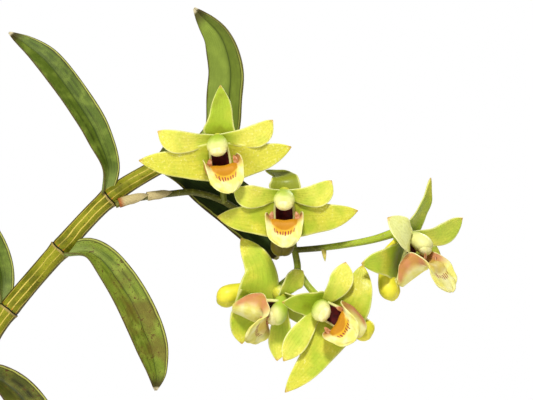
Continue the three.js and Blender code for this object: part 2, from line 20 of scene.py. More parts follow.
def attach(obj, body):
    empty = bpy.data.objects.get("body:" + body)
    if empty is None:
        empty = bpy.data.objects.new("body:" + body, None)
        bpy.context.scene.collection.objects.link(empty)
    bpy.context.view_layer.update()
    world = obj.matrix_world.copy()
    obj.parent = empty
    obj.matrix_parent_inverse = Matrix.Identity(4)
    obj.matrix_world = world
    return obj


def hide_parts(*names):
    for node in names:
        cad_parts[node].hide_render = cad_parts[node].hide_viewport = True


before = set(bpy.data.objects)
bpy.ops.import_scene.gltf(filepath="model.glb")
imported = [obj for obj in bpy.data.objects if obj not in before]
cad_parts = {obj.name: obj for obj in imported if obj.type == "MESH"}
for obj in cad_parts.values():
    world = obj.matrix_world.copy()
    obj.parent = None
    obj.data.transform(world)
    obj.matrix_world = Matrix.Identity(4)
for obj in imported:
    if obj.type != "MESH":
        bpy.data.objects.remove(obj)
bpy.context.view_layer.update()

MM = 0.001
GOLDEN_ANGLE = 2.399963
ROOT = "root"

log = logging.getLogger("orchid")

Point = Sequence[float]
Stations = Sequence[tuple[float, float]]
Value = float | NodeSocket
Colour = str | NodeSocket


# Formulas


def between(stations: Stations, share: float) -> float:
    """Reads a smooth curve through stations.

    Args:
        stations: Pairs of share and value, with the shares rising.
        share: Where to read, from the first share to the last.

    Returns:
        The value at that share.
    """
    last = len(stations) - 1
    k = 0
    while k < last - 1 and share > stations[k + 1][0]:
        k += 1

    def slope(i: int) -> float:
        """Returns the slope at a station, from its neighbours."""
        a, b = stations[max(i - 1, 0)], stations[min(i + 1, last)]
        return (b[1] - a[1]) / (b[0] - a[0])

    (x0, y0), (x1, y1) = stations[k], stations[k + 1]
    span = x1 - x0
    t = (share - x0) / span
    blend = (1 + 2 * t) * (1 - t) ** 2 * y0 + t * t * (3 - 2 * t) * y1
    return blend + span * (t * (1 - t) ** 2 * slope(k) - t * t * (1 - t) * slope(k + 1))


def straight(stations: Stations, share: float) -> float:
    """Reads the straight line between stations.

    Args:
        stations: Pairs of share and value, with the shares rising.
        share: Where to read.

    Returns:
        The value at that share, held level past either end.
    """
    for (x0, y0), (x1, y1) in zip(stations, stations[1:]):
        if share <= x1:
            return y0 + (y1 - y0) * max(0.0, (share - x0) / (x1 - x0))
    return stations[-1][1]


def hump(value: float, middle: float, half: float) -> float:
    """Returns a smooth rise of 1 at the middle that ends at half its width to either side."""
    away = abs(value - middle) / half
    return 0.0 if away >= 1 else (1 - away * away) ** 2


def even(count: int) -> list[float]:
    """Returns shares from 0 to 1 in that many equal steps."""
    return [i / count for i in range(count + 1)]


@dataclass(frozen=True)
class Spot:
    """A place along a course, with the way it runs and the way its upper face looks."""

    at: Vector
    heading: Vector
    face: Vector

    def side(self) -> Vector:
        """Returns the direction across the course."""
        return self.heading.cross(self.face)


class Course:
    """A smooth course through points, measured by its length."""

    STEPS = 200
    TENSION = 0.5

    def __init__(self, points: Sequence[Point]) -> None:
        """Measures the course.

        Args:
            points: The points that it runs through, in order.
        """
        self.points = [Vector(p) for p in points]
        self.reach = [0.0]
        last = self.curve(0.0)
        for step in range(1, self.STEPS + 1):
            here = self.curve(step / self.STEPS)
            self.reach.append(self.reach[-1] + (here - last).length)
            last = here
        self.length = self.reach[-1]

    def curve(self, t: float) -> Vector:
        """Reads the smooth curve through the points.

        Args:
            t: From 0 at the first point to 1 at the last, with equal steps from point to point.

        Returns:
            The point there.
        """
        p = self.points
        last = len(p) - 1
        k = min(int(t * last), last - 1)
        w = t * last - k
        before = p[k - 1] if k > 0 else 2 * p[0] - p[1]
        after = p[k + 2] if k + 2 <= last else 2 * p[last] - p[last - 1]
        a, b = p[k], p[k + 1]
        rise, fall = self.TENSION * (b - before), self.TENSION * (after - a)
        return a + rise * w + (3 * (b - a) - 2 * rise - fall) * w * w + (2 * (a - b) + rise + fall) * w ** 3

    def knot(self, share: float) -> float:
        """Finds how far along the points a share of the length lies.

        Args:
            share: The share of the course's length, from 0 to 1.

        Returns:
            The value for the curve, from 0 to 1.
        """
        target = min(max(share, 0.0), 1.0) * self.length
        low, high = 0, self.STEPS
        while high - low > 1:
            middle = (low + high) // 2
            low, high = (middle, high) if self.reach[middle] <= target else (low, middle)
        span = self.reach[high] - self.reach[low]
        return (low + (target - self.reach[low]) / span) / self.STEPS

    def at(self, share: float) -> Vector:
        """Returns the point at a share of the length."""
        return self.curve(self.knot(share))

    def heading(self, share: float) -> Vector:
        """Returns the unit direction of the course at a share of the length."""
        t = self.knot(share)
        return (self.curve(min(t + 1e-4, 1.0)) - self.curve(max(t - 1e-4, 0.0))).normalized()

    def spots(self, facing: Point, shares: Sequence[float], turn: float = 0.0) -> list[Spot]:
        """Returns the spots at some shares.

        Args:
            facing: The way the upper face looks at the start.
            shares: The shares of the length, rising.
            turn: Degrees by which the face has turned at the far end.

        Returns:
            One spot for each share, whose faces turn no more than the course and the turn ask.
        """
        face = Vector(facing)
        spots = []
        for share in shares:
            heading = self.heading(share)
            face = (face - face.dot(heading) * heading).normalized()
            turned = Matrix.Rotation(math.radians(turn * share), 3, heading) @ face
            spots.append(Spot(self.at(share), heading, turned))
        return spots


# Paint


def tint(code: str) -> tuple[float, float, float, float]:
    """Works out the shader's colour for a hex code.

    Args:
        code: A hash sign and six hex digits.

    Returns:
        Its red, green and blue in the shader's linear scale, and full cover.
    """
    parts = [int(code[i : i + 2], 16) / 255 for i in (1, 3, 5)]
    red, green, blue = (c / 12.92 if c <= 0.04045 else ((c + 0.055) / 1.055) ** 2.4 for c in parts)
    return red, green, blue, 1.0


class Layer(Enum):
    """The values that a piece carries on its points for its finish to read."""

    ACROSS = "across"
    ALONG = "along"
    UPPER = "upper"
    MARK = "mark"


class Brush:
    """Adds and joins the nodes of one material."""

    def __init__(self, name: str, **sockets: float) -> None:
        """Starts a material.

        Args:
            name: The material's name.
            sockets: Values for the shader's own sockets, with spaces as underscores.
        """
        self.material = bpy.data.materials.new(name)
        self.material.use_nodes = True
        self.tree = self.material.node_tree
        self.shader = self.tree.nodes["Principled BSDF"]
        self.colour: NodeSocket | None = None
        for socket, value in sockets.items():
            self.shader.inputs[socket.replace("_", " ")].default_value = value

    def node(self, kind: str, inputs: dict | None = None, **settings: object) -> bpy.types.Node:
        """Adds a node.

        Args:
            kind: The node's type name, after ShaderNode.
            inputs: A value, colour or socket for each input's name or number.
            settings: The node's own settings.

        Returns:
            The new node.
        """
        made = self.tree.nodes.new(f"ShaderNode{kind}")
        for setting, value in settings.items():
            setattr(made, setting, value)
        for socket, value in (inputs or {}).items():
            if isinstance(value, NodeSocket):
                self.tree.links.new(value, made.inputs[socket])
            else:
                made.inputs[socket].default_value = value
        return made

    def layer(self, layer: Layer) -> NodeSocket:
        """Returns one of the values that the piece carries."""
        return self.node("Attribute", attribute_name=layer.value).outputs["Fac"]

    def round(self) -> NodeSocket:
        """Returns the share of the way round a stem."""
        uv = self.node("UVMap", uv_map="UVMap").outputs["UV"]
        return self.node("SeparateXYZ", {0: uv}).outputs["X"]

    def math(self, operation: str, *values: Value) -> NodeSocket:
        """Returns the result of a Math node on the values."""
        return self.node("Math", dict(enumerate(values)), operation=operation).outputs[0]

    def noise(self, scale: float, detail: float = 3.0, stretch: Point = (1, 1, 1)) -> NodeSocket:
        """Returns a noise in the piece's own space.

        Args:
            scale: How many of its lumps fit in a metre.
            detail: How many finer noises are added.
            stretch: The scale along each axis.

        Returns:
            The noise, about 0.5 on average.
        """
        place = self.node("TexCoord").outputs["Object"]
        mapped = self.node("Mapping", {"Vector": place, "Scale": stretch}).outputs[0]
        return self.node("TexNoise", {"Vector": mapped, "Scale": scale, "Detail": detail}).outputs["Fac"]

    def blotches(self, lumps: Point, detail: float = 2.0) -> NodeSocket:
        """Returns a noise that follows the piece's own across, along and upper values.

        Args:
            lumps: How many of its lumps fit in 1 of each value.
            detail: How many finer noises are added.

        Returns:
            The noise, about 0.5 on average.
        """
        parts = {"X": self.layer(Layer.ACROSS), "Y": self.layer(Layer.ALONG), "Z": self.layer(Layer.UPPER)}
        place = self.node("CombineXYZ", parts).outputs[0]
        mapped = self.node("Mapping", {"Vector": place, "Scale": lumps}).outputs[0]
        return self.node("TexNoise", {"Vector": mapped, "Scale": 1.0, "Detail": detail}).outputs["Fac"]

    def around(self, value: NodeSocket) -> NodeSocket:
        """Returns a value from 0 to 1 shifted to lie around 0."""
        return self.math("SUBTRACT", value, 0.5)

    def step(self, value: Value, low: float, high: float) -> NodeSocket:
        """Returns a smooth step.

        Args:
            value: What is stepped.
            low: Where the step is 0.
            high: Where it is 1, which may lie below low.

        Returns:
            The step, from 0 to 1.
        """
        if high < low:
            return self.math("SUBTRACT", 1.0, self.step(value, high, low))
        inputs = {"Value": value, "From Min": low, "From Max": high}
        return self.node("MapRange", inputs, interpolation_type="SMOOTHSTEP").outputs[0]

    def flecks(self, scale: float, detail: float, low: float, high: float) -> NodeSocket:
        """Returns a noise cut into flecks by a smooth step from low to high."""
        return self.step(self.noise(scale, detail), low, high)

    def band(self, value: NodeSocket, low: float, high: float, soft: float) -> NodeSocket:
        """Returns 1 between low and high, with soft ends outside them."""
        return self.both(self.step(value, low - soft, low), self.step(value, high + soft, high))

    def both(self, *masks: Value) -> NodeSocket:
        """Joins masks so that each one weakens the others.

        Args:
            masks: The masks, in order.

        Returns:
            Their product.
        """
        result = masks[0]
        for mask in masks[1:]:
            result = self.math("MULTIPLY", result, mask)
        return result

    def lines(self, value: NodeSocket, count: float, wobble: NodeSocket, sway: float) -> NodeSocket:
        """Returns evenly spread lines.

        Args:
            value: What the lines are spread over.
            count: How many fit between values 0 and 1.
            wobble: A noise that bends the lines.
            sway: By how many spacings it bends them.

        Returns:
            A value of 1 on a line, falling to 0 halfway to the next.
        """
        spread = self.math("MULTIPLY_ADD", value, count, self.both(self.around(wobble), sway))
        return self.both(self.math("PINGPONG", spread, 0.5), 2.0)

    def mix(self, mask: Value, base: Colour, over: Colour) -> NodeSocket:
        """Mixes two colours.

        Args:
            mask: How strongly the second one covers the first.
            base: The first colour.
            over: The second colour.

        Returns:
            The mixed colour.
        """
        colours = {6: base, 7: over}
        inputs = {k: tint(v) if isinstance(v, str) else v for k, v in colours.items()}
        return self.node("Mix", {0: mask, **inputs}, data_type="RGBA").outputs[2]

    def base(self, mask: Value, first: Colour, second: Colour) -> None:
        """Starts the colour: the first where the mask is 0, and the second where it is 1."""
        self.colour = self.mix(mask, first, second)

    def lay(self, over: Colour, *masks: Value) -> None:
        """Lays a colour over the ones before it, as strongly as the product of the masks."""
        self.colour = self.mix(self.both(*masks), self.colour, over)

    def join(self, socket: str, value: NodeSocket) -> None:
        """Joins a value to one of the shader's own sockets."""
        self.tree.links.new(value, self.shader.inputs[socket])

    def finish(self, height: NodeSocket | None = None, depth: float = 0.1) -> Material:
        """Joins the colour and the relief to the shader.

        Args:
            height: The relief, from 0 to 1.
            depth: The relief's depth in millimetres.

        Returns:
            The finished material.
        """
        self.join("Base Color", self.colour)
        if height is not None:
            bump = self.node("Bump", {"Height": height, "Distance": depth * MM, "Strength": 1.0})
            self.join("Normal", bump.outputs[0])
        return self.material


class LeafCoat(Enum):
    """The finishes that a leaf may have."""

    FRESH = "leaf_green"
    FRECKLED = "leaf_freckled"
    BROWNED = "leaf_browned"
    SHADED = "leaf_shaded"


@dataclass(frozen=True)
class LeafFinish:
    """A thick strap leaf: fine lengthwise veins, a dark midrib, thin purple-brown margins, and painted
    light: painted shade in the midrib's crease, and along one margin a painted shadow strip and a painted
    highlight.
    """

    name: str
    dark: str
    mid: str
    light: str
    freckles: float = 0.0
    rim_side: float = 0.1

    def paint(self) -> Material:
        """Returns the leaf's material."""
        brush = Brush(self.name, Roughness=0.5, Specular_IOR_Level=0.16)
        side = brush.layer(Layer.ACROSS)
        away = brush.math("ABSOLUTE", side)
        along = brush.layer(Layer.ALONG)
        upper = brush.layer(Layer.UPPER)
        edge = brush.math("ADD", away, brush.both(brush.around(brush.noise(420.0, 2.0)), 0.1))
        mottle = brush.noise(330.0, 4.0)
        veins = brush.lines(side, 9.0, brush.blotches((2.0, 5.0, 0.0)), 0.5)
        brush.base(brush.step(brush.blotches((5.0, 2.2, 3.0), 4.0), 0.25, 0.6), self.dark, self.mid)
        brush.lay(self.light, brush.step(mottle, 0.4, 0.75), 0.6)
        brush.lay(self.dark, brush.step(veins, 0.75, 1.0), 0.16)
        brush.lay(self.light, brush.layer(Layer.MARK), 0.7)
        # The dark midrib: partly its own colour, partly painted shade in its crease.
        sway = brush.around(brush.blotches((0.0, 3.2, 0.0)))
        middle = brush.math("ABSOLUTE", brush.math("MULTIPLY_ADD", sway, self.freckles, side))
        brush.lay(self.dark, brush.step(middle, 0.22, 0.03), 0.4)
        brush.lay("#28380f", brush.step(middle, 0.06, 0.01), 0.7)
        brush.lay("#8d9c52", brush.step(along, 0.16, 0.02), 0.6)
        spots = brush.both(brush.flecks(1500.0, 2.0, 0.57, 0.66), brush.step(mottle, 0.4, 0.6))
        brush.lay("#4d3312", spots, self.freckles)
        smudge = brush.both(brush.flecks(170.0, 5.0, 0.42, 0.66), brush.band(along, 0.42, 0.9, 0.14))
        brush.lay("#64461f", smudge, self.freckles, 0.7)
        brush.lay("#76853f", brush.step(upper, 0.6, 0.4), 0.45)
        # Painted light on one margin, where the rim turns up: a painted shadow strip inside it and a painted
        # highlight on the rim.
        painted_rim_light = brush.step(side, 0.0, self.rim_side)
        brush.lay("#35300f", brush.band(edge, 0.84, 0.88, 0.05), painted_rim_light, 0.65)
        brush.lay("#a9ab52", brush.band(edge, 0.9, 0.94, 0.03), painted_rim_light, 0.8)
        brush.lay("#4a3315", brush.step(edge, 0.93, 0.99), 0.75)
        brush.lay("#3c2f14", brush.step(along, 0.9, 0.97), 0.85)
        brush.lay("#c9bd98", brush.step(along, 0.975, 0.99))
        grain = brush.both(brush.noise(2600.0, 2.0), 0.35)
        return brush.finish(brush.math("ADD", brush.both(veins, 0.4), grain), 0.06)


@dataclass(frozen=True)
class CaneFinish:
    """A cane in its close sheaths: yellow lengthwise veins, and a dark line over each sheath's mouth."""

    name: str
    dark: str
    mid: str
    light: str
    vein: str
    veins: float = 10.0

    def paint(self) -> Material:
        """Returns the cane's material."""
        brush = Brush(self.name, Roughness=0.55, Specular_IOR_Level=0.14)
        round_ = brush.round()
        uneven = brush.around(brush.noise(420.0, 2.0))
        gap = brush.math("ADD", brush.layer(Layer.MARK), brush.both(uneven, 0.7))
        wobble = brush.noise(110.0, 2.0)
        mottle = brush.noise(520.0, 4.0)
        patches = brush.noise(130.0, 2.0)
        veins = brush.lines(round_, self.veins, wobble, 0.8)
        brush.base(brush.step(mottle, 0.38, 0.62), self.dark, self.mid)
        brush.lay(self.light, brush.step(patches, 0.35, 0.7), 0.8)
        strength = brush.flecks(95.0, 1.0, 0.32, 0.55)
        line = brush.both(brush.step(veins, 0.74, 0.92), strength)
        brush.lay(self.vein, line, 0.9)
        starts = brush.both(brush.band(gap, 0.2, 0.7, 0.5), brush.step(veins, 0.72, 0.95))
        brush.lay("#b06a1c", starts, 0.85)
        turn = brush.math("ABSOLUTE", brush.math("SINE", brush.both(round_, math.tau)))
        flush = brush.both(brush.step(turn, 0.74, 0.96), brush.step(mottle, 0.3, 0.5))
        brush.lay("#3a2808", flush, 0.8)
        brush.lay("#a08a52", brush.band(gap, -0.4, -0.05, 0.25), 0.75)
        brush.lay("#1d1a08", brush.band(gap, 0.02, 0.28, 0.12))
        specks = brush.flecks(2300.0, 1.0, 0.66, 0.72)
        brush.lay("#3a2c10", specks, 0.7)
        height = brush.math("ADD", brush.both(brush.step(veins, 0.5, 1.0), 0.5), brush.both(mottle, 0.6))
        return brush.finish(height, 0.1)


@dataclass(frozen=True)
class StalkFinish:
    """The flower stalk: dark olive on its main run and fresh green towards each bloom."""

    name: str
    dark: str
    light: str

    def paint(self) -> Material:
        """Returns the stalk's material."""
        brush = Brush(self.name, Roughness=0.45, Specular_IOR_Level=0.4)
        mottle = brush.noise(900.0, 3.0)
        fresh = brush.layer(Layer.MARK)
        streaks = brush.lines(brush.round(), 7.0, brush.noise(200.0, 1.0), 0.6)
        brush.base(fresh, self.dark, self.light)
        brush.lay("#8c8a35", brush.step(mottle, 0.5, 0.7), 0.5)
        brush.lay("#39400e", brush.step(streaks, 0.7, 1.0), 0.3)
        specks = brush.flecks(3200.0, 1.0, 0.68, 0.74)
        brush.lay("#d8d9a0", specks, 0.6)
        return brush.finish(brush.math("ADD", streaks, mottle), 0.05)


@dataclass(frozen=True)
class PaperFinish:
    """A dry bract: pale, with fine lengthwise fibres and a reddish foot."""

    name: str
    light: str
    dark: str
    foot: str

    def paint(self) -> Material:
        """Returns the bract's material."""
        brush = Brush(self.name, Roughness=0.75)
        fibres = brush.lines(brush.layer(Layer.ACROSS), 7.0, brush.blotches((1.0, 4.0, 1.0)), 0.8)
        brush.base(brush.both(fibres, 0.7), self.light, self.dark)
        stain = brush.both(brush.step(brush.layer(Layer.ALONG), 0.22, 0.02), brush.layer(Layer.MARK))
        brush.lay(self.foot, stain)
        height = brush.math("ADD", fibres, brush.noise(1800.0, 2.0))
        return brush.finish(height, 0.08)


@dataclass(frozen=True)
class SepalFinish:
    """A waxy sepal or petal: yellow-green, with faint veins, a paler margin and a warm tip, with painted
    shade, painted lightening and painted glints of light.
    """

    name: str
    green: str
    yellow: str
    pale: str
    tip: str
    back: str
    vein_and_painted_shade: str = "#83881a"

    def paint(self) -> Material:
        """Returns the sepal's material."""
        wax = {"Coat_Weight": 0.12, "Coat_Roughness": 0.25}
        brush = Brush(self.name, Roughness=0.5, Specular_IOR_Level=0.22, **wax)
        side = brush.layer(Layer.ACROSS)
        away = brush.math("ABSOLUTE", side)
        along = brush.layer(Layer.ALONG)
        upper = brush.layer(Layer.UPPER)
        # The mark is how yellow the part is; it also carries painted shade when low and painted lightening
        # when very high.
        warmth = brush.math("ADD", brush.layer(Layer.MARK), brush.both(brush.around(along), 0.5))
        cloud = brush.math("ADD", warmth, brush.both(brush.around(brush.noise(190.0, 4.0)), 2.2))
        veins = brush.lines(side, 3.5, brush.blotches((1.0, 3.0, 1.0)), 0.6)
        brush.base(brush.step(cloud, 0.1, 0.95), self.green, self.yellow)
        broken = brush.flecks(260.0, 2.0, 0.35, 0.65)
        brush.lay(self.vein_and_painted_shade, brush.step(veins, 0.6, 1.0), broken, 0.22)
        # Greener and darker towards the foot: partly the part's own colour, partly painted shade near the
        # bloom's middle.
        brush.lay(self.vein_and_painted_shade, brush.step(along, 0.34, 0.0), 0.6)
        brush.lay(self.back, brush.step(upper, 0.6, 0.4), 0.5)
        # Painted shade: dark olive where the mark runs low, for sepals that lie in shade.
        brush.lay(self.vein_and_painted_shade, brush.step(cloud, 0.1, -0.5), 0.9)
        # Painted light: nearly white-yellow where the mark runs very high, to lighten a petal turned from
        # the lamp.
        brush.lay("#eff3a4", brush.step(cloud, 1.3, 2.3), 0.75)
        brush.lay(self.pale, brush.step(away, 0.86, 0.99), 0.75)
        brush.lay(self.tip, brush.step(along, 0.93, 1.0), 0.8)
        grain = brush.noise(1900.0, 4.0)
        brush.lay(self.vein_and_painted_shade, brush.step(grain, 0.48, 0.3), 0.2)
        # Painted highlight: pale glints of light on the wax.
        painted_glints = brush.both(brush.step(grain, 0.56, 0.7), brush.step(cloud, 0.4, 1.1))
        brush.lay("#f6f3b4", painted_glints, 0.4)
        height = brush.math("ADD", brush.both(veins, 0.3), grain)
        return brush.finish(height, 0.08)


@dataclass(frozen=True)
class LipFinish:
    """The lip: cream, with an orange callus, an arc of magenta dashes, pinkish-brown side lobes and a maroon
    throat, darkened as painted shade under the column.
    """

    name: str
    cream: str = "#dfd66a"
    rim: str = "#ebe5a0"
    callus: str = "#bd7f06"
    glow: str = "#d6a61c"
    dash: str = "#8e0f30"
    lobe: str = "#b9803f"
    blush: str = "#bf7a4c"
    throat: str = "#5a0d0c"

    def paint(self) -> Material:
        """Returns the lip's material."""
        brush = Brush(self.name, Roughness=0.6, Specular_IOR_Level=0.3)
        side = brush.layer(Layer.ACROSS)
        away = brush.math("ABSOLUTE", side)
        along = brush.layer(Layer.ALONG)
        upper = brush.layer(Layer.UPPER)
        inside = brush.step(upper, 0.4, 0.6)
        cloud = brush.noise(420.0, 3.0)
        brush.base(brush.step(cloud, 0.35, 0.7), self.cream, self.rim)
        lobe = brush.both(brush.band(along, 0.1, 0.5, 0.12), brush.step(away, 0.3, 0.7))
        brush.lay(brush.mix(brush.step(cloud, 0.4, 0.6), self.lobe, self.blush), lobe, 0.95)
        brush.lay(self.rim, lobe, brush.step(away, 0.95, 1.0))
        arc = brush.math("MULTIPLY_ADD", brush.math("MULTIPLY", side, side), 0.2, along)
        golden = brush.both(inside, brush.math("SUBTRACT", 1.0, brush.layer(Layer.MARK)))
        glow = brush.both(golden, brush.band(arc, 0.46, 0.74, 0.07), brush.step(away, 0.75, 0.42))
        brush.lay(self.glow, glow)
        core = brush.both(golden, brush.band(arc, 0.46, 0.655, 0.03), brush.step(away, 0.66, 0.52))
        brush.lay(self.callus, core)
        strokes = brush.lines(side, 6.5, brush.blotches((4.0, 7.0, 0.0)), 1.1)
        uneven = brush.math("ADD", arc, brush.both(brush.noise(1300.0, 1.0), 0.12))
        row = brush.band(uneven, 0.78, 0.835, 0.02)
        dashes = brush.both(inside, row, brush.step(strokes, 0.45, 0.65), brush.step(away, 0.6, 0.5))
        brush.lay(self.dash, dashes)
        # Maroon throat: its own colour, darkened as painted shade under the column.
        throat = brush.both(inside, brush.step(along, 0.46, 0.38), brush.step(away, 0.6, 0.4))
        brush.lay(self.throat, throat)
        height = brush.math("ADD", brush.noise(3000.0, 2.0), brush.both(strokes, 0.4))
        return brush.finish(height, 0.05)


@dataclass(frozen=True)
class ColumnFinish:
    """The column's hood: green at its root and cream towards the anther cap."""

    name: str
    green: str = "#a9bf3a"
    cream: str = "#e9e694"

    def paint(self) -> Material:
        """Returns the column's material."""
        brush = Brush(self.name, Roughness=0.45, Specular_IOR_Level=0.3)
        under = brush.math("ABSOLUTE", brush.layer(Layer.ACROSS))
        ahead = brush.math("MULTIPLY_ADD", under, 0.5, brush.layer(Layer.ALONG))
        ahead = brush.math("ADD", ahead, brush.layer(Layer.MARK))
        fade = brush.math("MULTIPLY_ADD", brush.noise(600.0, 2.0), 0.2, ahead)
        brush.base(brush.step(fade, 0.75, 1.25), self.green, self.cream)
        return brush.finish(brush.noise(2800.0, 2.0), 0.04)


@dataclass(frozen=True)
class PlainFinish:
    """A small waxy or fleshy part of nearly one colour, mottled with a second one, with painted shade where
    its mark asks.
    """

    name: str
    base: str
    over: str
    roughness: float = 0.45
    lumps: float = 900.0
    depth: float = 0.05
    painted_shade: str = "#4a3c04"

    def paint(self) -> Material:
        """Returns the material."""
        brush = Brush(self.name, Roughness=self.roughness, Specular_IOR_Level=0.25)
        cloud = brush.noise(self.lumps, 3.0)
        brush.base(brush.step(cloud, 0.35, 0.7), self.base, self.over)
        # Painted shade, as strong as the mark: for a part that lies in shade behind the others.
        brush.lay(self.painted_shade, brush.layer(Layer.MARK))
        return brush.finish(cloud, self.depth)


@dataclass(frozen=True)
class ClayFinish:
    """Fired clay: fine grain, faint turning lines, pale lime bloom, and darker towards its foot."""

    name: str
    clay: str = "#b4643d"
    dark: str = "#8f4a2b"
    bloom: str = "#d9b79c"

    def paint(self) -> Material:
        """Returns the pot's material."""
        brush = Brush(self.name, Roughness=0.88, Specular_IOR_Level=0.25)
        place = brush.node("TexCoord").outputs["Object"]
        height_up = brush.node("SeparateXYZ", {0: place}).outputs["Z"]
        grain = brush.noise(1500.0, 4.0)
        clouds = brush.noise(28.0, 4.0)
        rings = brush.noise(260.0, 2.0, (0.04, 0.04, 1.0))
        brush.base(brush.step(clouds, 0.35, 0.7), self.dark, self.clay)
        brush.lay("#c98055", brush.step(grain, 0.5, 0.75), 0.5)
        # Darker towards the foot of the pot.
        foot_darkening = brush.math("MULTIPLY_ADD", clouds, -0.03, height_up)
        brush.lay(self.dark, brush.step(foot_darkening, 0.018, -0.006), 0.55)
        lime = brush.both(brush.flecks(55.0, 5.0, 0.55, 0.74), brush.step(grain, 0.3, 0.6))
        brush.lay(self.bloom, lime, 0.55)
        height = brush.math("ADD", brush.both(grain, 0.5), brush.both(rings, 0.8))
        brush.join("Roughness", brush.math("MULTIPLY_ADD", grain, 0.15, 0.78))
        return brush.finish(height, 0.35)


@dataclass(frozen=True)
class BarkFinish:
    """Bark flakes: fibrous, from pale tan to nearly black."""

    name: str
    light: str = "#a3754a"
    mid: str = "#6a4527"
    dark: str = "#2e1c10"

    def paint(self) -> Material:
        """Returns the bark's material."""
        brush = Brush(self.name, Roughness=0.92, Specular_IOR_Level=0.2)
        tone = brush.layer(Layer.MARK)
        fibres = brush.noise(900.0, 4.0, (1.0, 0.25, 1.0))
        clouds = brush.noise(240.0, 4.0)
        brush.base(brush.step(clouds, 0.35, 0.7), self.dark, self.mid)
        brush.lay(self.light, tone, brush.step(fibres, 0.3, 0.65))
        return brush.finish(brush.math("ADD", fibres, clouds), 0.5)


@dataclass(frozen=True)
class FloorFinish:
    """The plain pale floor under the pot."""

    name: str = "floor_white"

    def paint(self) -> Material:
        """Returns the floor's material."""
        brush = Brush(self.name, Roughness=0.8)
        brush.base(brush.noise(3.0, 2.0), "#f2f1ee", "#f5f4f2")
        return brush.finish()


# Pieces in the making


def level(value: float) -> Stations:
    """Returns stations with the same value from end to end."""
    return ((0.0, value), (1.0, value))


NONE = level(0.0)


@dataclass(frozen=True)
class Blade:
    """A thin arched sheet along a course: a leaf, sepal, petal, bract or lip."""

    path: Sequence[Point]
    facing: Point
    widths: Stations
    bends: Stations
    folds: Stations = NONE
    turn: float = 0.0
    thick: float = 0.55
    rim: float = 0.18
    rows: int = 30
    cols: int = 16
    ripple: float = 0.0
    waves: float = 3.0
    relief: Callable[[float, float], float] | None = None
    mark: float = 0.0
    LEAST_CURL = 0.01
    CREASE = 0.004
    PHASES = (0.4, 1.7)
    CALM_TIP = 1.02

    def place(self, spot: Spot, across: float, along: float) -> Vector:
        """Returns the place of a point of the sheet's middle.

        Args:
            spot: The course's spot at that share of the length.
            across: From -1 at one margin to 1 at the other.
            along: From 0 at the foot to 1 at the tip.

        Returns:
            The point in millimetres.
        """
        width = between(self.widths, along)
        curl = math.radians(between(self.bends, along))
        if abs(curl) < self.LEAST_CURL:
            curl = self.LEAST_CURL
        crease = math.sqrt(across * across + self.CREASE) - math.sqrt(self.CREASE)
        reach = width / curl * math.sin(across * curl / 2)
        lift = width / curl * (1 - math.cos(across * curl / 2))
        lift += between(self.folds, along) * crease * width / 2
        sway = math.sin(math.tau * self.waves * along + self.PHASES[across > 0])
        swell = math.sin(math.pi * min(1.0, along * self.CALM_TIP)) ** 0.5
        lift += self.ripple * abs(across) ** 3 * sway * swell
        if self.relief:
            lift += self.relief(across, along)
        return spot.at + spot.side() * reach + spot.face * lift


@dataclass(frozen=True)
class Stem:
    """A round stem along a course, with stops of share and radius."""

    path: Sequence[Point]
    facing: Point
    stops: Stations
    sides: int = 24
    flat: float = 1.0
    marks: Stations = NONE
    ribs: float = 0.0
    rib_count: int = 6


def to_object(name: str, form: BMesh) -> Object:
    """Turns a form into an object in the scene.

    Args:
        name: The object's name.
        form: The form in metres, which is freed.

    Returns:
        The object.
    """
    mesh = bpy.data.meshes.new(name)
    form.to_mesh(mesh)
    form.free()
    made = bpy.data.objects.new(name, mesh)
    bpy.context.scene.collection.objects.link(made)
    return made


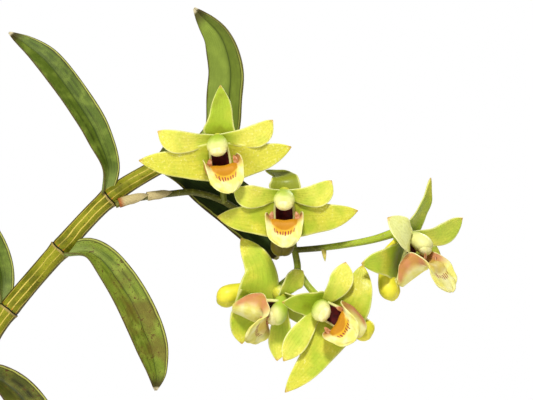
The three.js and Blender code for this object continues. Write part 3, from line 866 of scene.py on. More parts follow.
class Body:
    """One piece in the making: a mesh in millimetres with the layers that its finishes read."""

    BALL_SIDES = 20
    BALL_ROWS = 14

    def __init__(self) -> None:
        """Starts an empty piece."""
        self.mesh = bmesh.new()
        self.mesh.loops.layers.uv.new("UVMap")
        floats = self.mesh.verts.layers.float
        self.layers = {layer: floats.new(layer.value) for layer in Layer}
        self.number = self.mesh.verts.layers.int.new("number")

    def tell(self, vert: BMVert, across: float, along: float, upper: float, mark: float) -> None:
        """Stores a point's values for the finish."""
        for layer, value in zip(Layer, (across, along, upper, mark)):
            vert[self.layers[layer]] = value

    def grid(self, cols: int, rows: int) -> list[BMVert]:
        """Returns the points of a new flat grid, from -1 to 1 each way."""
        made = bmesh.ops.create_grid(self.mesh, x_segments=cols, y_segments=rows, size=1.0, calc_uvs=True)
        return made["verts"]

    @staticmethod
    def faces_of(verts: Sequence[BMVert]) -> list[BMFace]:
        """Returns the faces at some points, each once."""
        return list({face: None for vert in verts for face in vert.link_faces})

    def join(self, other: "Body") -> None:
        """Takes over all of another piece in the making.

        Args:
            other: The other piece, which is freed.
        """
        carrier = bpy.data.meshes.new("carrier")
        other.mesh.to_mesh(carrier)
        other.mesh.free()
        self.mesh.from_mesh(carrier)
        bpy.data.meshes.remove(carrier)

    @staticmethod
    def coat(faces: Sequence[BMFace], coat: int) -> None:
        """Gives faces one of the piece's finishes, and smooth shading.

        Args:
            faces: The faces.
            coat: The number of the finish.
        """
        for face in faces:
            face.material_index = coat
            face.smooth = True

    def blade(self, form: Blade, coat: int = 0) -> None:
        """Adds a blade.

        Args:
            form: Its shape.
            coat: The number of its finish.
        """
        verts = self.grid(form.cols, form.rows)
        spots = Course(form.path).spots(form.facing, even(form.rows), form.turn)
        for vert in verts:
            across, along = vert.co.x, (vert.co.y + 1) / 2
            spot = spots[round(along * form.rows)]
            self.tell(vert, across, along, 1.0, form.mark)
            vert.co = form.place(spot, across, along)
        near = self.faces_of(verts)
        for face in near:
            face.normal_update()
        middles = []
        for number, vert in enumerate(verts):
            vert.normal_update()
            vert[self.number] = number
            spot = spots[round(vert[self.layers[Layer.ALONG]] * form.rows)]
            up = vert.normal if vert.normal.dot(spot.face) > 0 else -vert.normal
            middles.append((vert.co.copy(), up.copy()))
        made = bmesh.ops.extrude_face_region(self.mesh, geom=near, use_keep_orig=True)["geom"]
        far = [item for item in made if isinstance(item, BMVert)]
        for group, hand in ((verts, 1.0), (far, -1.0)):
            for vert in group:
                middle, up = middles[vert[self.number]]
                across, along = vert[self.layers[Layer.ACROSS]], vert[self.layers[Layer.ALONG]]
                inset = max(abs(across) ** 6, hump(along, 1.0, 0.06))
                vert.co = middle + up * (hand / 2) * (form.thick + (form.rim - form.thick) * inset)
                if hand < 0:
                    vert[self.layers[Layer.UPPER]] = 0.0
        faces = self.faces_of([*verts, *far])
        bmesh.ops.recalc_face_normals(self.mesh, faces=faces)
        self.coat(faces, coat)

    def lathe(self, profile: Sequence[tuple[float, float]], steps: int, weld: float) -> None:
        """Turns a profile round the upright axis.

        Args:
            profile: The radius and height of each of its points.
            steps: How many faces go round.
            weld: The distance under which points become one.
        """
        bm = self.mesh
        points = [bm.verts.new((radius, 0.0, height)) for radius, height in profile]
        edges = [bm.edges.new(pair) for pair in zip(points, points[1:])]
        turn = {"cent": (0, 0, 0), "axis": (0, 0, 1), "angle": math.tau, "steps": steps, "use_merge": True}
        bmesh.ops.spin(bm, geom=[*points, *edges], **turn)
        bmesh.ops.remove_doubles(bm, verts=bm.verts, dist=weld)
        bmesh.ops.recalc_face_normals(bm, faces=bm.faces)

    def stem(self, form: Stem, coat: int = 0) -> None:
        """Adds a stem with closed ends.

        Args:
            form: Its shape.
            coat: The number of its finish.
        """
        rows = len(form.stops) - 1
        verts = self.grid(form.sides, rows)
        spots = Course(form.path).spots(form.facing, [stop[0] for stop in form.stops])
        for vert in verts:
            row = round((vert.co.y + 1) / 2 * rows)
            share, radius = form.stops[row]
            angle = vert.co.x * math.pi
            spot = spots[row]
            radius *= 1 + form.ribs * math.cos(form.rib_count * angle)
            self.tell(vert, vert.co.x, share, 1.0, straight(form.marks, share))
            reach = spot.face * (math.cos(angle) * form.flat) + spot.side() * math.sin(angle)
            vert.co = spot.at + reach * radius
        bmesh.ops.remove_doubles(self.mesh, verts=verts, dist=1e-5)
        verts = [vert for vert in verts if vert.is_valid]
        ends = {edge: None for vert in verts for edge in vert.link_edges if edge.is_boundary}
        bmesh.ops.holes_fill(self.mesh, edges=list(ends), sides=0)
        faces = self.faces_of(verts)
        bmesh.ops.recalc_face_normals(self.mesh, faces=faces)
        self.coat(faces, coat)

    def ball(self, matrix: Matrix, coat: int = 0, mark: float = 0.0) -> None:
        """Adds a ball, shaped and placed by a matrix.

        Args:
            matrix: Takes a ball of radius 1 to its place.
            coat: The number of its finish.
            mark: Its mark for the finish.
        """
        size = {"u_segments": self.BALL_SIDES, "v_segments": self.BALL_ROWS, "radius": 1.0}
        verts = bmesh.ops.create_uvsphere(self.mesh, **size)["verts"]
        for vert in verts:
            self.tell(vert, vert.co.x, (vert.co.z + 1) / 2, 1.0, mark)
        bmesh.ops.transform(self.mesh, matrix=matrix, verts=verts)
        self.coat(self.faces_of(verts), coat)

    def piece(self, name: str, finishes: Sequence[Material], node: str) -> Object:
        """Finishes the piece.

        Args:
            name: The piece's name.
            finishes: Its materials, in the order of their numbers.
            node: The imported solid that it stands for.

        Returns:
            The piece's object, in metres.
        """
        bmesh.ops.scale(self.mesh, vec=(MM, MM, MM), verts=self.mesh.verts)
        made = to_object(name, self.mesh)
        for finish in finishes:
            made.data.materials.append(finish)
        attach(made, ROOT)
        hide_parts(node)
        log.info("%s: %d faces", name, len(made.data.polygons))
        return made


# Pot and bark


@dataclass(frozen=True)
class Pot:
    """The turned clay pot with its drainage holes."""

    height: float = 84.0
    base: float = 33.0
    top: float = 44.0
    rim: float = 48.0
    rim_height: float = 15.0
    floor: float = 5.0
    lip: float = 1.2
    inside_foot: float = 30.0
    inside_mouth: float = 43.0
    steps: int = 96
    hole_radius: float = 4.0
    hole_ring: float = 18.0
    hole_count: int = 4
    hole_depth: float = 30.0
    crisp: float = 38.0

    def inside(self, height: float) -> float:
        """Returns the inner radius at a height."""
        share = (height - self.floor) / (self.height - self.floor)
        return self.inside_foot + (self.inside_mouth - self.inside_foot) * share

    def profile(self) -> list[tuple[float, float]]:
        """Returns the pot's section as radius and height, from the middle of its underside to its floor."""
        under = self.height - self.rim_height
        mouth = self.inside(self.height)
        half = self.lip / 2
        bend = half * 0.6
        return [
            (0.0, 0.0),
            (self.base - self.lip, 0.0),
            (self.base - bend, bend),
            (self.base, self.lip),
            (self.base + (self.top - self.base) / 3, under / 3),
            (self.base + (self.top - self.base) * 2 / 3, under * 2 / 3),
            (self.top - 0.05, under - 0.6),
            (self.top + 0.5, under),
            (self.rim - self.lip, under),
            (self.rim - bend, under + bend),
            (self.rim, under + self.lip),
            (self.rim, (under + self.height) / 2),
            (self.rim, self.height - self.lip),
            (self.rim - bend, self.height - bend),
            (self.rim - self.lip, self.height),
            (mouth + self.lip, self.height),
            (mouth + half * 0.5, self.height - bend),
            (self.inside(self.height - self.lip), self.height - self.lip),
            (self.inside(self.height * 0.6), self.height * 0.6),
            (self.inside_foot, self.floor),
            (0.0, self.floor),
        ]

    def build(self) -> Object:
        """Builds the pot and cuts its holes.

        Returns:
            The pot's object.
        """
        body = Body()
        body.lathe(self.profile(), self.steps, 1e-4)
        body.coat(body.mesh.faces, 0)
        for edge in body.mesh.edges:
            edge.smooth = len(edge.link_faces) == 2 and edge.calc_face_angle(0.0) < math.radians(self.crisp)
        pot = body.piece("clay_pot", [ClayFinish("fired_clay").paint()], "pot")
        self.drill(pot)
        return pot

    def drill(self, pot: Object) -> None:
        """Cuts the drainage holes through the pot's floor.

        Args:
            pot: The pot's object.
        """
        drill = bmesh.new()
        for i in range(self.hole_count):
            angle = (i + 0.5) / self.hole_count * math.tau
            away = Vector((math.cos(angle), math.sin(angle), 0)) * self.hole_ring * MM
            place = Matrix.Translation(away + Vector((0, 0, self.floor / 2 * MM)))
            radius = self.hole_radius * MM
            size = {"radius1": radius, "radius2": radius, "depth": self.hole_depth * MM}
            bmesh.ops.create_cone(drill, cap_ends=True, segments=32, matrix=place, **size)
        cutter = to_object("drill", drill)
        cut = pot.modifiers.new("holes", "BOOLEAN")
        cut.object, cut.operation, cut.solver = cutter, "DIFFERENCE", "EXACT"
        shown = pot.evaluated_get(bpy.context.evaluated_depsgraph_get())
        drilled = bpy.data.meshes.new_from_object(shown)
        pot.modifiers.remove(cut)
        pot.data = drilled
        bpy.data.objects.remove(cutter)


@dataclass(frozen=True)
class BarkBed:
    """The potting mix: a bed that fills the pot, under loose flakes of bark."""

    pot: Pot
    top: float = 75.0
    bed_top: float = 73.2
    crown: float = 2.2
    flakes: int = 420
    batch: int = 20
    length: float = 7.0
    width: float = 4.2
    depth: float = 1.7
    gap: float = 0.3
    steps: int = 72
    bumps: float = 0.9
    bed_tone: float = 0.2
    least: float = 0.45
    spread: float = 0.85
    foot_room: float = 3.4
    lean: float = 1.1
    rough: float = 0.55
    blunt: float = 0.45
    seed: int = 2

    @staticmethod
    def draw(index: int, channel: int) -> float:
        """Returns an even draw from 0 to 1 that depends only on its numbers."""
        return noise.cell(Vector((index * 1.37 + 0.5, channel * 7.7 + 0.5, 3.5))) * 0.5 + 0.5

    def heap(self, radius: float) -> float:
        """Returns the height of the bed at a distance from the middle."""
        share = min(1.0, radius / (self.pot.inside(self.top) - self.gap))
        return self.bed_top + self.crown * math.sqrt(max(0.0, 1 - share))

    def build(self, feet: Sequence[Point]) -> Object:
        """Builds the bed and its flakes.

        Args:
            feet: The places of the canes, which the flakes keep clear of.

        Returns:
            The bed's object.
        """
        body = Body()
        low = self.pot.floor + self.gap
        rim = self.pot.inside(self.bed_top) - self.gap
        profile = [(0.0, low), (self.pot.inside_foot - self.gap, low)]
        profile += [(rim * (1 - share), self.heap(rim * (1 - share))) for share in even(12)]
        body.lathe(profile, self.steps, 1e-3)
        for vert in body.mesh.verts:
            if vert.co.z > self.bed_top - 1 and vert.co.xy.length < rim - 0.5:
                vert.co.z += self.bumps * noise.noise(vert.co * 0.35)
            body.tell(vert, 0.0, 0.0, 1.0, self.bed_tone)
        body.coat(body.mesh.faces, 0)
        noise.seed_set(self.seed)
        for first in range(0, self.flakes, self.batch):
            heap = Body()
            for index in range(first, min(first + self.batch, self.flakes)):
                self.flake(heap, index, rim, feet)
            body.join(heap)
        return body.piece("bark_bed", [BarkFinish("pine_bark").paint()], "potting_mix")

    def flake(self, body: Body, index: int, rim: float, feet: Sequence[Point]) -> None:
        """Adds one flake of bark.

        Args:
            body: The bed in the making.
            index: The flake's number.
            rim: The bed's radius.
            feet: The places of the canes.
        """
        size = self.least + self.spread * self.draw(index, 1) ** 2
        away = (rim - self.length * size * 0.55) * math.sqrt((index + 0.5) / self.flakes)
        angle = index * GOLDEN_ANGLE
        at = Vector((away * math.cos(angle), away * math.sin(angle), 0.0))
        room = self.foot_room + self.length * size * 0.3
        if any((at.xy - Vector(foot[:2])).length < room for foot in feet):
            return
        at.z = self.heap(away) + 0.5 + self.depth * self.draw(index, 2) * (1 - away / rim * 0.5)
        verts = bmesh.ops.create_uvsphere(body.mesh, u_segments=10, v_segments=6, radius=1.0)["verts"]
        shape = Vector((self.length, self.width, self.depth)) * size
        shape.y *= 0.6 + 0.8 * self.draw(index, 3)
        tilt = Matrix.Rotation((self.draw(index, 4) - 0.5) * self.lean, 4, "X")
        tilt = Matrix.Rotation((self.draw(index, 5) - 0.5) * self.lean, 4, "Y") @ tilt
        tilt = Matrix.Rotation(self.draw(index, 6) * math.tau, 4, "Z") @ tilt
        tone = self.draw(index, 7)
        for vert in verts:
            drift = noise.noise_vector(vert.co * 1.1 + Vector((index * 3.1, 0, 0)))
            square = Vector(math.copysign(abs(c) ** self.blunt, c) for c in vert.co)
            vert.co = Vector(c * full / 2 for c, full in zip(square + drift * self.rough, shape))
            body.tell(vert, 0.0, 0.0, 1.0, tone)
        bmesh.ops.transform(body.mesh, matrix=Matrix.Translation(at) @ tilt, verts=verts)
        for face in body.faces_of(verts):
            face.smooth = False


# Canes and leaves


@dataclass(frozen=True)
class Cane:
    """A jointed cane in its close sheaths."""

    name: str
    path: Sequence[Point]
    joints: Sequence[float]
    radius: float
    tip: float
    slot: str = "cane"
    SWELL = 1.14
    TAPER = 12
    FAR = 9.0
    MOUTH = (
        (-1.6, 1.03), (-1.1, 1.05), (-0.6, 1.085), (-0.25, 1.125), (0.0, SWELL), (0.1, 1.1), (0.16, 1.0),
        (0.4, 1.0), (0.8, 1.02), (1.3, 1.02), (2.2, 1.0),
    )
    FOOT = ((0.0, 0.8), (0.8, 1.02), (1.5, 1.08))
    END = ((0.5, 0.97), (0.2, 0.85), (0.0, 0.55))
    SHEATH_STARTS = 2.8
    SHEATH_ENDS = 2.2
    TIP_ENDS = 1.0
    RING_GAP = 3.2
    WAIST = 0.97
    SEAM = 0.01

    def size(self, share: float) -> float:
        """Returns the cane's plain radius at a share of its length."""
        return self.radius + (self.tip - self.radius) * share ** self.TAPER

    def stops(self, length: float) -> tuple[Stations, Stations]:
        """Works out the cane's rings.

        Args:
            length: The cane's length in millimetres.

        Returns:
            The stops with their radii, and at each the distance from the nearest joint in millimetres.
        """
        far = self.FAR
        shares = [(rise / length, part, far) for rise, part in self.FOOT]
        start = 0.0
        for joint in [*self.joints, 1.0]:
            first = start * length + self.SHEATH_STARTS
            last = joint * length - (self.SHEATH_ENDS if joint < 1 else self.TIP_ENDS)
            half = max(2, round((last - first) / self.RING_GAP))
            middle = (first + last) / 2
            for i in range(half + 1):
                lean = 1 - i / half
                reach = (middle - first - self.SEAM) * lean + self.SEAM
                part = self.WAIST + 0.03 * lean ** 2
                shares.append(((middle + reach) / length, part, -far))
                if start > 0 or i < half:
                    shares.append(((middle - reach) / length, part, far))
            if joint < 1:
                shares += [(joint + gap / length, part, gap) for gap, part in self.MOUTH]
            start = joint
        shares += [(1 - drop / length, part, far) for drop, part in self.END]
        shares.sort()
        rings = [(share, self.size(share) * part) for share, part, _ in shares]
        marks = [(share, gap) for share, _, gap in shares]
        return rings, marks

    def build(self, finish: Material) -> Object:
        """Builds the cane.

        Args:
            finish: Its material.

        Returns:
            The cane's object.
        """
        body = Body()
        rings, marks = self.stops(Course(self.path).length)
        body.stem(Stem(self.path, (0, 1, 0), rings, 40, marks=marks))
        return body.piece(f"{self.name}_sheathed", [finish], self.name)

    def seat(self, joint: int, toward: Point, clear: float) -> Vector:
        """Returns the point beside a joint where a leaf sits.

        Args:
            joint: The joint's number.
            toward: A point on the side where it sits.
            clear: How far it lies off the joint.

        Returns:
            The point in millimetres.
        """
        course = Course(self.path)
        share = self.joints[joint]
        at, axis = course.at(share), course.heading(share)
        side = Vector(toward) - at
        side = (side - side.dot(axis) * axis).normalized()
        return at + side * (self.size(share) * self.SWELL + clear)


@dataclass(frozen=True)
class Leaf:
    """A strap leaf that grows from the mouth of a cane's sheath."""

    name: str
    cane: str
    joint: int
    width: float
    facing: Point
    turn: float
    path: Sequence[Point]
    fold: float = 0.28
    coat: LeafCoat = LeafCoat.FRESH
    lean: float = 2.5
    tone: float = 0.0
    WIDTHS = (
        (0.0, 0.3), (0.1, 0.48), (0.27, 0.9), (0.5, 1.0), (0.75, 0.93), (0.9, 0.55), (0.97, 0.24),
        (1.0, 0.06),
    )
    BENDS = ((0.0, 190.0), (0.12, 100.0), (0.3, 34.0), (0.6, 24.0), (1.0, 30.0))
    SEAT = -0.8
    FLARE = 0.55

    def build(self, canes: dict[str, Cane], finish: Material) -> Object:
        """Builds the leaf.

        Args:
            canes: The canes by name.
            finish: The leaf's material.

        Returns:
            The leaf's object.
        """
        cane = canes[self.cane]
        toward = Vector(self.path[0]) - Vector((0, self.lean, 0))
        path = [cane.seat(self.joint, toward, self.SEAT), *self.path]
        widths = []
        for share, part in self.WIDTHS:
            widths.append((share, part * self.width * (1 + self.FLARE * hump(share, 0.0, 0.2))))
        folds = ((0.0, self.fold), (0.3, self.fold), (0.7, self.fold), (1.0, self.fold * 1.3))
        blade = Blade(
            path, self.facing, widths, self.BENDS, folds, self.turn,
            thick=0.7, rim=0.28, rows=56, cols=24, ripple=0.16, waves=2.3, mark=self.tone,
        )
        body = Body()
        body.blade(blade)
        return body.piece(f"{self.name}_veined", [finish], self.name)


# Blooms


@dataclass(frozen=True)
class PartForm:
    """What the same outer part of each bloom has in common."""

    start: tuple[float, float, float]
    widths: Stations
    bends: Stations
    ripple: float


@dataclass(frozen=True)
class BloomCoats:
    """The finishes of a bloom's parts."""

    sepal: Material
    petal: Material
    chin: Material
    lip: Material
    lobe: Material
    column: Material
    cap: Material
    throat: Material


@dataclass(frozen=True)
class Bloom:
    """One bloom, placed by its middle, the way it faces and its upward direction."""

    name: str
    at: Point
    forward: Point
    up: Point
    dorsal: Sequence[Point]
    petals: Sequence[Sequence[Point]]
    sepals: Sequence[Sequence[Point]]
    chin: Point
    warmth: float
    dorsal_warmth_and_shade: float = 0.0
    lip_shift: Point = (0.0, 0.0, 0.0)
    lip_turn: float = 0.0
    plain_lip: float = 0.0
    lobe_spread: float = 1.0
    hood_lean: float = 0.0
    pale_hood: float = 0.0
    chin_shade: float = 0.0
    near_petal_painted_light: float = 0.0
    petal_scales: tuple[float, float] = (1.0, 1.0)
    NECK_RADIUS = 2.1
    NECK_BACK = 2.4
    DORSAL = PartForm(
        start=(0, -0.4, -1.6),
        widths=(
            (0.0, 5.2), (0.18, 8.2), (0.33, 6.9), (0.45, 6.0), (0.59, 5.35), (0.7, 4.6), (0.83, 3.0),
            (0.94, 1.3), (1.0, 0.2),
        ),
        bends=((0.0, 70.0), (0.4, 34.0), (0.8, 22.0), (1.0, 30.0)),
        ripple=0.12,
    )
    PETAL = PartForm(
        start=(0.4, 0.2, -0.9),
        widths=((0.0, 2.4), (0.28, 3.9), (0.5, 5.4), (0.65, 5.95), (0.79, 5.1), (0.91, 2.9), (1.0, 0.2)),
        bends=((0.0, 60.0), (0.4, 24.0), (0.8, 24.0), (1.0, 30.0)),
        ripple=0.16,
    )
    SEPAL = PartForm(
        start=(-0.8, -5.8, -1.5),
        widths=(
            (0.0, 11.0), (0.25, 9.6), (0.45, 7.9), (0.62, 6.7), (0.75, 5.4), (0.85, 3.9), (0.93, 2.2),
            (1.0, 0.2),
        ),
        bends=((0.0, 30.0), (0.4, 22.0), (0.8, 18.0), (1.0, 24.0)),
        ripple=0.2,
    )
    CHIN_PATH = ((-1.5, -3.2), (-7.0, -4.6))
    CHIN_SPREAD = 0.75
    CHIN_RINGS = ((0.0, 0.6), (0.4, 1.25), (0.6, 1.95), (0.74, 2.4), (0.88, 2.3), (0.97, 1.3), (1.0, 0.4))
    LIP_PATH = (
        (-12.2, 2.0), (-9.4, 3.7), (-6.9, 5.4), (-6.3, 6.8), (-7.5, 8.7), (-9.3, 10.3), (-10.8, 11.2),
    )
    LIP_WIDTHS = (
        (0.0, 3.4), (0.15, 9.4), (0.3, 13.8), (0.42, 14.2), (0.54, 11.6), (0.66, 9.6), (0.8, 8.2),
        (0.9, 6.0), (0.97, 3.2), (1.0, 1.0),
    )
    LIP_BENDS = (
        (0.0, 60.0), (0.15, 165.0), (0.3, 198.0), (0.42, 196.0), (0.54, 126.0), (0.68, 62.0), (0.86, 12.0),
        (1.0, -25.0),
    )
    CALLUS_LIFT = 1.3
    CALLUS_REACH = 0.62
    RUFFLE_LIFT = 0.5
    LOBE_POINTS = ((3.1, -6.0, 5.4), (3.3, -4.4, 5.8), (2.9, -2.9, 5.4))
    LOBE_WIDTHS = ((0.0, 0.5), (0.35, 1.3), (0.75, 1.1), (1.0, 0.2))
    LOBE_BENDS = ((0.0, 60.0), (1.0, 90.0))
    LOBE_FOLLOWS = 0.4
    HOOD_PATH = ((0.0, 0.0), (0.1, 2.6), (-0.3, 4.8), (-1.0, 6.2))
    HOOD_RINGS = ((0.0, 1.9), (0.3, 2.3), (0.65, 2.65), (0.84, 2.4), (0.95, 1.7), (1.0, 0.8))
    HOOD_FLAT = 0.85
    CAP_LEANS = 0.85
    CAP_RISE = -1.1
    CAP_AHEAD = 5.4
    CAP_SIZE = (2.2, 1.55, 1.5)
    FOOT_PATH = ((-0.6, 0.9), (-5.0, 0.7), (-11.2, 1.0))
    FOOT_WIDTHS = ((0.0, 5.2), (0.5, 5.6), (1.0, 3.2))
    FOOT_BENDS = ((0.0, 100.0), (1.0, 80.0))
    FOOT_TONE = 0.45
    LINING_WIDTHS = ((0.0, 3.9), (0.5, 4.2), (1.0, 2.2))
    LINING_BENDS = ((0.0, 60.0), (1.0, 50.0))
    LINING_LIFT = 0.75

    def axes(self) -> tuple[Vector, Vector, Vector]:
        """Returns the bloom's right, up and forward directions."""
        forward = Vector(self.forward).normalized()
        right = Vector(self.up).cross(forward).normalized()
        return right, forward.cross(right), forward

    def place(self, right: float, up: float, forward: float) -> Vector:
        """Returns a point of the bloom from its distances to the right, up and forward."""
        axes = self.axes()
        return Vector(self.at) + axes[0] * right + axes[1] * up + axes[2] * forward

    def frame(self, right: float, up: float, forward: float, size: Point) -> Matrix:
        """Places a ball on the bloom.

        Args:
            right: How far its middle lies to the right.
            up: How far up it lies.
            forward: How far forward it lies.
            size: Its radii to the right, up and forward.

        Returns:
            The matrix that takes a ball of radius 1 there.
        """
        turn = Matrix(self.axes()).transposed().to_4x4()
        return Matrix.Translation(self.place(right, up, forward)) @ turn @ Matrix.Diagonal((*size, 1.0))

    def part(
        self, body: Body, form: PartForm, hand: int, ends: Sequence[Point], coat: int, warm: float
    ) -> None:
        """Adds one sepal or petal.

        Args:
            body: The outer parts in the making.
            form: What such a part has in common.
            hand: 1 on the bloom's right and -1 on its left.
            ends: Its further points up to the tip, as offsets from the bloom's middle.
            coat: The number of its finish.
            warm: How yellow it is; a low value also paints it olive as painted shade, and a very high one
                paints it paler as painted light.
        """
        right, up, forward = form.start
        path = [self.place(hand * right, up, forward), *(Vector(self.at) + Vector(end) for end in ends)]
        scale = self.petal_scales[hand > 0] if form is self.PETAL else 1.0
        widths = [(share, width * scale) for share, width in form.widths]
        blade = Blade(
            path, self.axes()[2], widths, form.bends,
            thick=0.6, rim=0.2, rows=44, cols=22, ripple=form.ripple, mark=warm,
        )
        body.blade(blade, coat)

    def build_outer(self, coats: BloomCoats) -> Object:
        """Builds the sepals, petals and chin.

        Args:
            coats: The bloom's finishes.

        Returns:
            Their object.
        """
        body = Body()
        right, _, forward = self.axes()
        tip = Vector(self.at) + Vector(self.chin)
        least = self.CHIN_RINGS[-1][1]
        stops = [(share, max(least, between(self.CHIN_RINGS, share))) for share in even(28)]
        # A low dorsal warmth paints the dorsal in shade, and the near petal's extra warmth paints it
        # lighter.
        self.part(body, self.DORSAL, 1, self.dorsal, 0, self.dorsal_warmth_and_shade)
        for form, ends, coat, extra in (
            (self.PETAL, self.petals, 1, self.near_petal_painted_light),
            (self.SEPAL, self.sepals, 0, 0.0),
        ):
            self.part(body, form, -1, ends[0], coat, self.warmth + extra)
            self.part(body, form, 1, ends[1], coat, self.warmth)
        for hand in (-1, 1):
            chin = [self.place(0, rise, ahead) for rise, ahead in self.CHIN_PATH]
            chin.append(tip + right * hand * self.CHIN_SPREAD)
            body.stem(Stem(chin, forward, stops, 28, marks=level(self.chin_shade)), 2)
        neck = self.frame(0, 0, -self.NECK_BACK, (self.NECK_RADIUS,) * 3)
        body.ball(neck, 0, self.warmth)
        finishes = [coats.sepal, coats.petal, coats.chin]
        name = f"{self.name}_sepals_and_petals"
        return body.piece(f"{name}_fine", finishes, name)

    def lip_relief(self, across: float, along: float) -> float:
        """Works out the lip's relief: its raised callus and the ruffle of its front margin.

        Args:
            across: From -1 at one margin to 1 at the other.
            along: From 0 at the foot to 1 at the tip.

        Returns:
            How far the lip's face rises there, in millimetres.
        """
        callus = self.CALLUS_LIFT * hump(along, 0.56, 0.13)
        callus *= max(0.0, 1 - (across / self.CALLUS_REACH) ** 4)
        ruffle = self.RUFFLE_LIFT * hump(along, 0.9, 0.34) * abs(across) ** 2
        ruffle *= math.sin(11.0 * across + 17.0 * along)
        return callus + ruffle

    def build_lip(self, coats: BloomCoats) -> Object:
        """Builds the lip, with the two brown lobes that stand up inside it.

        Args:
            coats: The bloom's finishes.

        Returns:
            The lip's object.
        """
        body = Body()
        _, above, ahead = self.axes()
        shift = self.lip_shift
        path = []
        for share, (up, forward) in zip(even(len(self.LIP_PATH) - 1), self.LIP_PATH):
            path.append(self.place(share * shift[0], up + share * shift[1], forward + share * shift[2]))
        follow = self.place(*(self.LOBE_FOLLOWS * way for way in shift)) - self.place(0, 0, 0)
        for hand in (-1, 1):
            lobe = [
                self.place(hand * right * self.lobe_spread, up, forward) + follow
                for right, up, forward in self.LOBE_POINTS
            ]
            body.blade(Blade(lobe, ahead, self.LOBE_WIDTHS, self.LOBE_BENDS, thick=0.4, cols=10), 1)
        blade = Blade(
            path, above, self.LIP_WIDTHS, self.LIP_BENDS, turn=self.lip_turn, thick=0.5, rim=0.22,
            rows=64, cols=40, ripple=0.22, waves=5.0, relief=self.lip_relief, mark=self.plain_lip,
        )
        body.blade(blade)
        return body.piece(f"{self.name}_lip_fine", [coats.lip, coats.lobe], f"{self.name}_lip")

    def build_column(self, coats: BloomCoats) -> Object:
        """Builds the column: hood, anther cap, foot, and between them a maroon lining darkened as painted
        shade of the hollow.

        Args:
            coats: The bloom's finishes.

        Returns:
            The column's object.
        """
        body = Body()
        _, up, forward = self.axes()
        hood = [
            self.place(0, rise + share * self.hood_lean, ahead)
            for share, (rise, ahead) in zip(even(len(self.HOOD_PATH) - 1), self.HOOD_PATH)
        ]
        stops = [(share, between(self.HOOD_RINGS, share)) for share in even(26)]
        body.stem(Stem(hood, up, stops, 32, flat=self.HOOD_FLAT, marks=level(self.pale_hood)), 0)
        cap_rise = self.CAP_LEANS * self.hood_lean + self.CAP_RISE
        body.ball(self.frame(0, cap_rise, self.CAP_AHEAD, self.CAP_SIZE), 1)
        path = [self.place(0, rise, ahead) for rise, ahead in self.FOOT_PATH]
        foot = Blade(
            path, forward, self.FOOT_WIDTHS, self.FOOT_BENDS, thick=1.0, rim=0.5, mark=self.FOOT_TONE
        )
        body.blade(foot, 0)
        # The lining: the foot's own maroon, darkened as painted shade inside the hollow.
        path = [self.place(0, rise, ahead + self.LINING_LIFT) for rise, ahead in self.FOOT_PATH]
        lining = Blade(
            path, forward, self.LINING_WIDTHS, self.LINING_BENDS, thick=0.3, rim=0.2, rows=24, cols=12
        )
        body.blade(lining, 2)
        finishes = [coats.column, coats.cap, coats.throat]
        return body.piece(f"{self.name}_column_fine", finishes, f"{self.name}_column")


# Flower stalk


@dataclass(frozen=True)
class Run:
    """One run of the flower stalk."""

    points: Sequence[Point]
    radii: tuple[float, float]
    bloom: int | None = None
    fresh: tuple[float, float] = (0.0, 0.0)


@dataclass(frozen=True)
class Bract:
    """A dry bract wrapped round a stretch of the stalk's main run."""

    name: str
    start: float
    end: float
    radius: float
    wrap: float
    stain: float
    FACING = (0, 1, -0.4)
    NARROWING = ((0.0, 1.0), (0.3, 0.95), (0.62, 0.72), (0.82, 0.36), (1.0, 0.06))

    def build(self, run: Run, finish: Material) -> Object:
        """Builds the bract.

        Args:
            run: The run of the stalk that it wraps.
            finish: Its material.

        Returns:
            The bract's object.
        """
        shares = [self.start + (self.end - self.start) * share for share in even(3)]
        spots = Course(run.points).spots(self.FACING, shares)
        path = [spot.at - spot.face * self.radius for spot in spots]
        width = math.radians(self.wrap) * self.radius
        widths = [(share, part * width) for share, part in self.NARROWING]
        bends = [(share, part * self.wrap) for share, part in self.NARROWING]
        blade = Blade(
            path, self.FACING, widths, bends,
            thick=0.25, rim=0.1, rows=24, cols=20, ripple=0.12, waves=2.5, mark=self.stain,
        )
        body = Body()
        body.blade(blade)
        return body.piece(f"{self.name}_papery", [finish], self.name)


@dataclass(frozen=True)
class FlowerStalk:
    """The flower stalk with its side branches, and the tiny bract beyond the fork."""

    runs: Sequence[Run]
    tiny_path: Sequence[Point] = ((103.4, 1.8, 201.3), (103.8, 1.0, 197.6))
    tiny_radius: float = 0.62
    foot_swell: float = 0.12
    end_swell: float = 0.25
    ribs: float = 0.035
    overlap: float = 0.6

    def build(self, blooms: Sequence[Bloom], finishes: Sequence[Material]) -> Object:
        """Builds the stalk.

        Args:
            blooms: The blooms that its branches end at.
            finishes: The stalk's material and the tiny bract's.

        Returns:
            The stalk's object.
        """
        body = Body()
        for run in self.runs:
            points = [Vector(p) for p in run.points]
            end_swell = 0.0
            if run.bloom is not None:
                points.append(blooms[run.bloom].place(0, 0, -2 * Bloom.NECK_BACK + self.overlap))
                end_swell = self.end_swell
            first, last = run.radii
            stops = []
            for share in even(30):
                swell = self.foot_swell * hump(share, 0.0, 0.06) + end_swell * share ** 6
                stops.append((share, first + (last - first) * share + swell))
            old, young = run.fresh
            marks = ((0.0, old), (0.24, old), (0.34, young), (1.0, young))
            body.stem(Stem(points, (0, 1, 0.1), stops, 18, marks=marks, ribs=self.ribs))
        rings = [(share, self.tiny_radius * (1 - share ** 2.2) + 0.05) for share in even(12)]
        body.stem(Stem(self.tiny_path, (0, 1, 0), rings, 14, flat=0.6), 1)
        return body.piece("flower_stalk_ridged", finishes, "flower_stalk")


# The plant


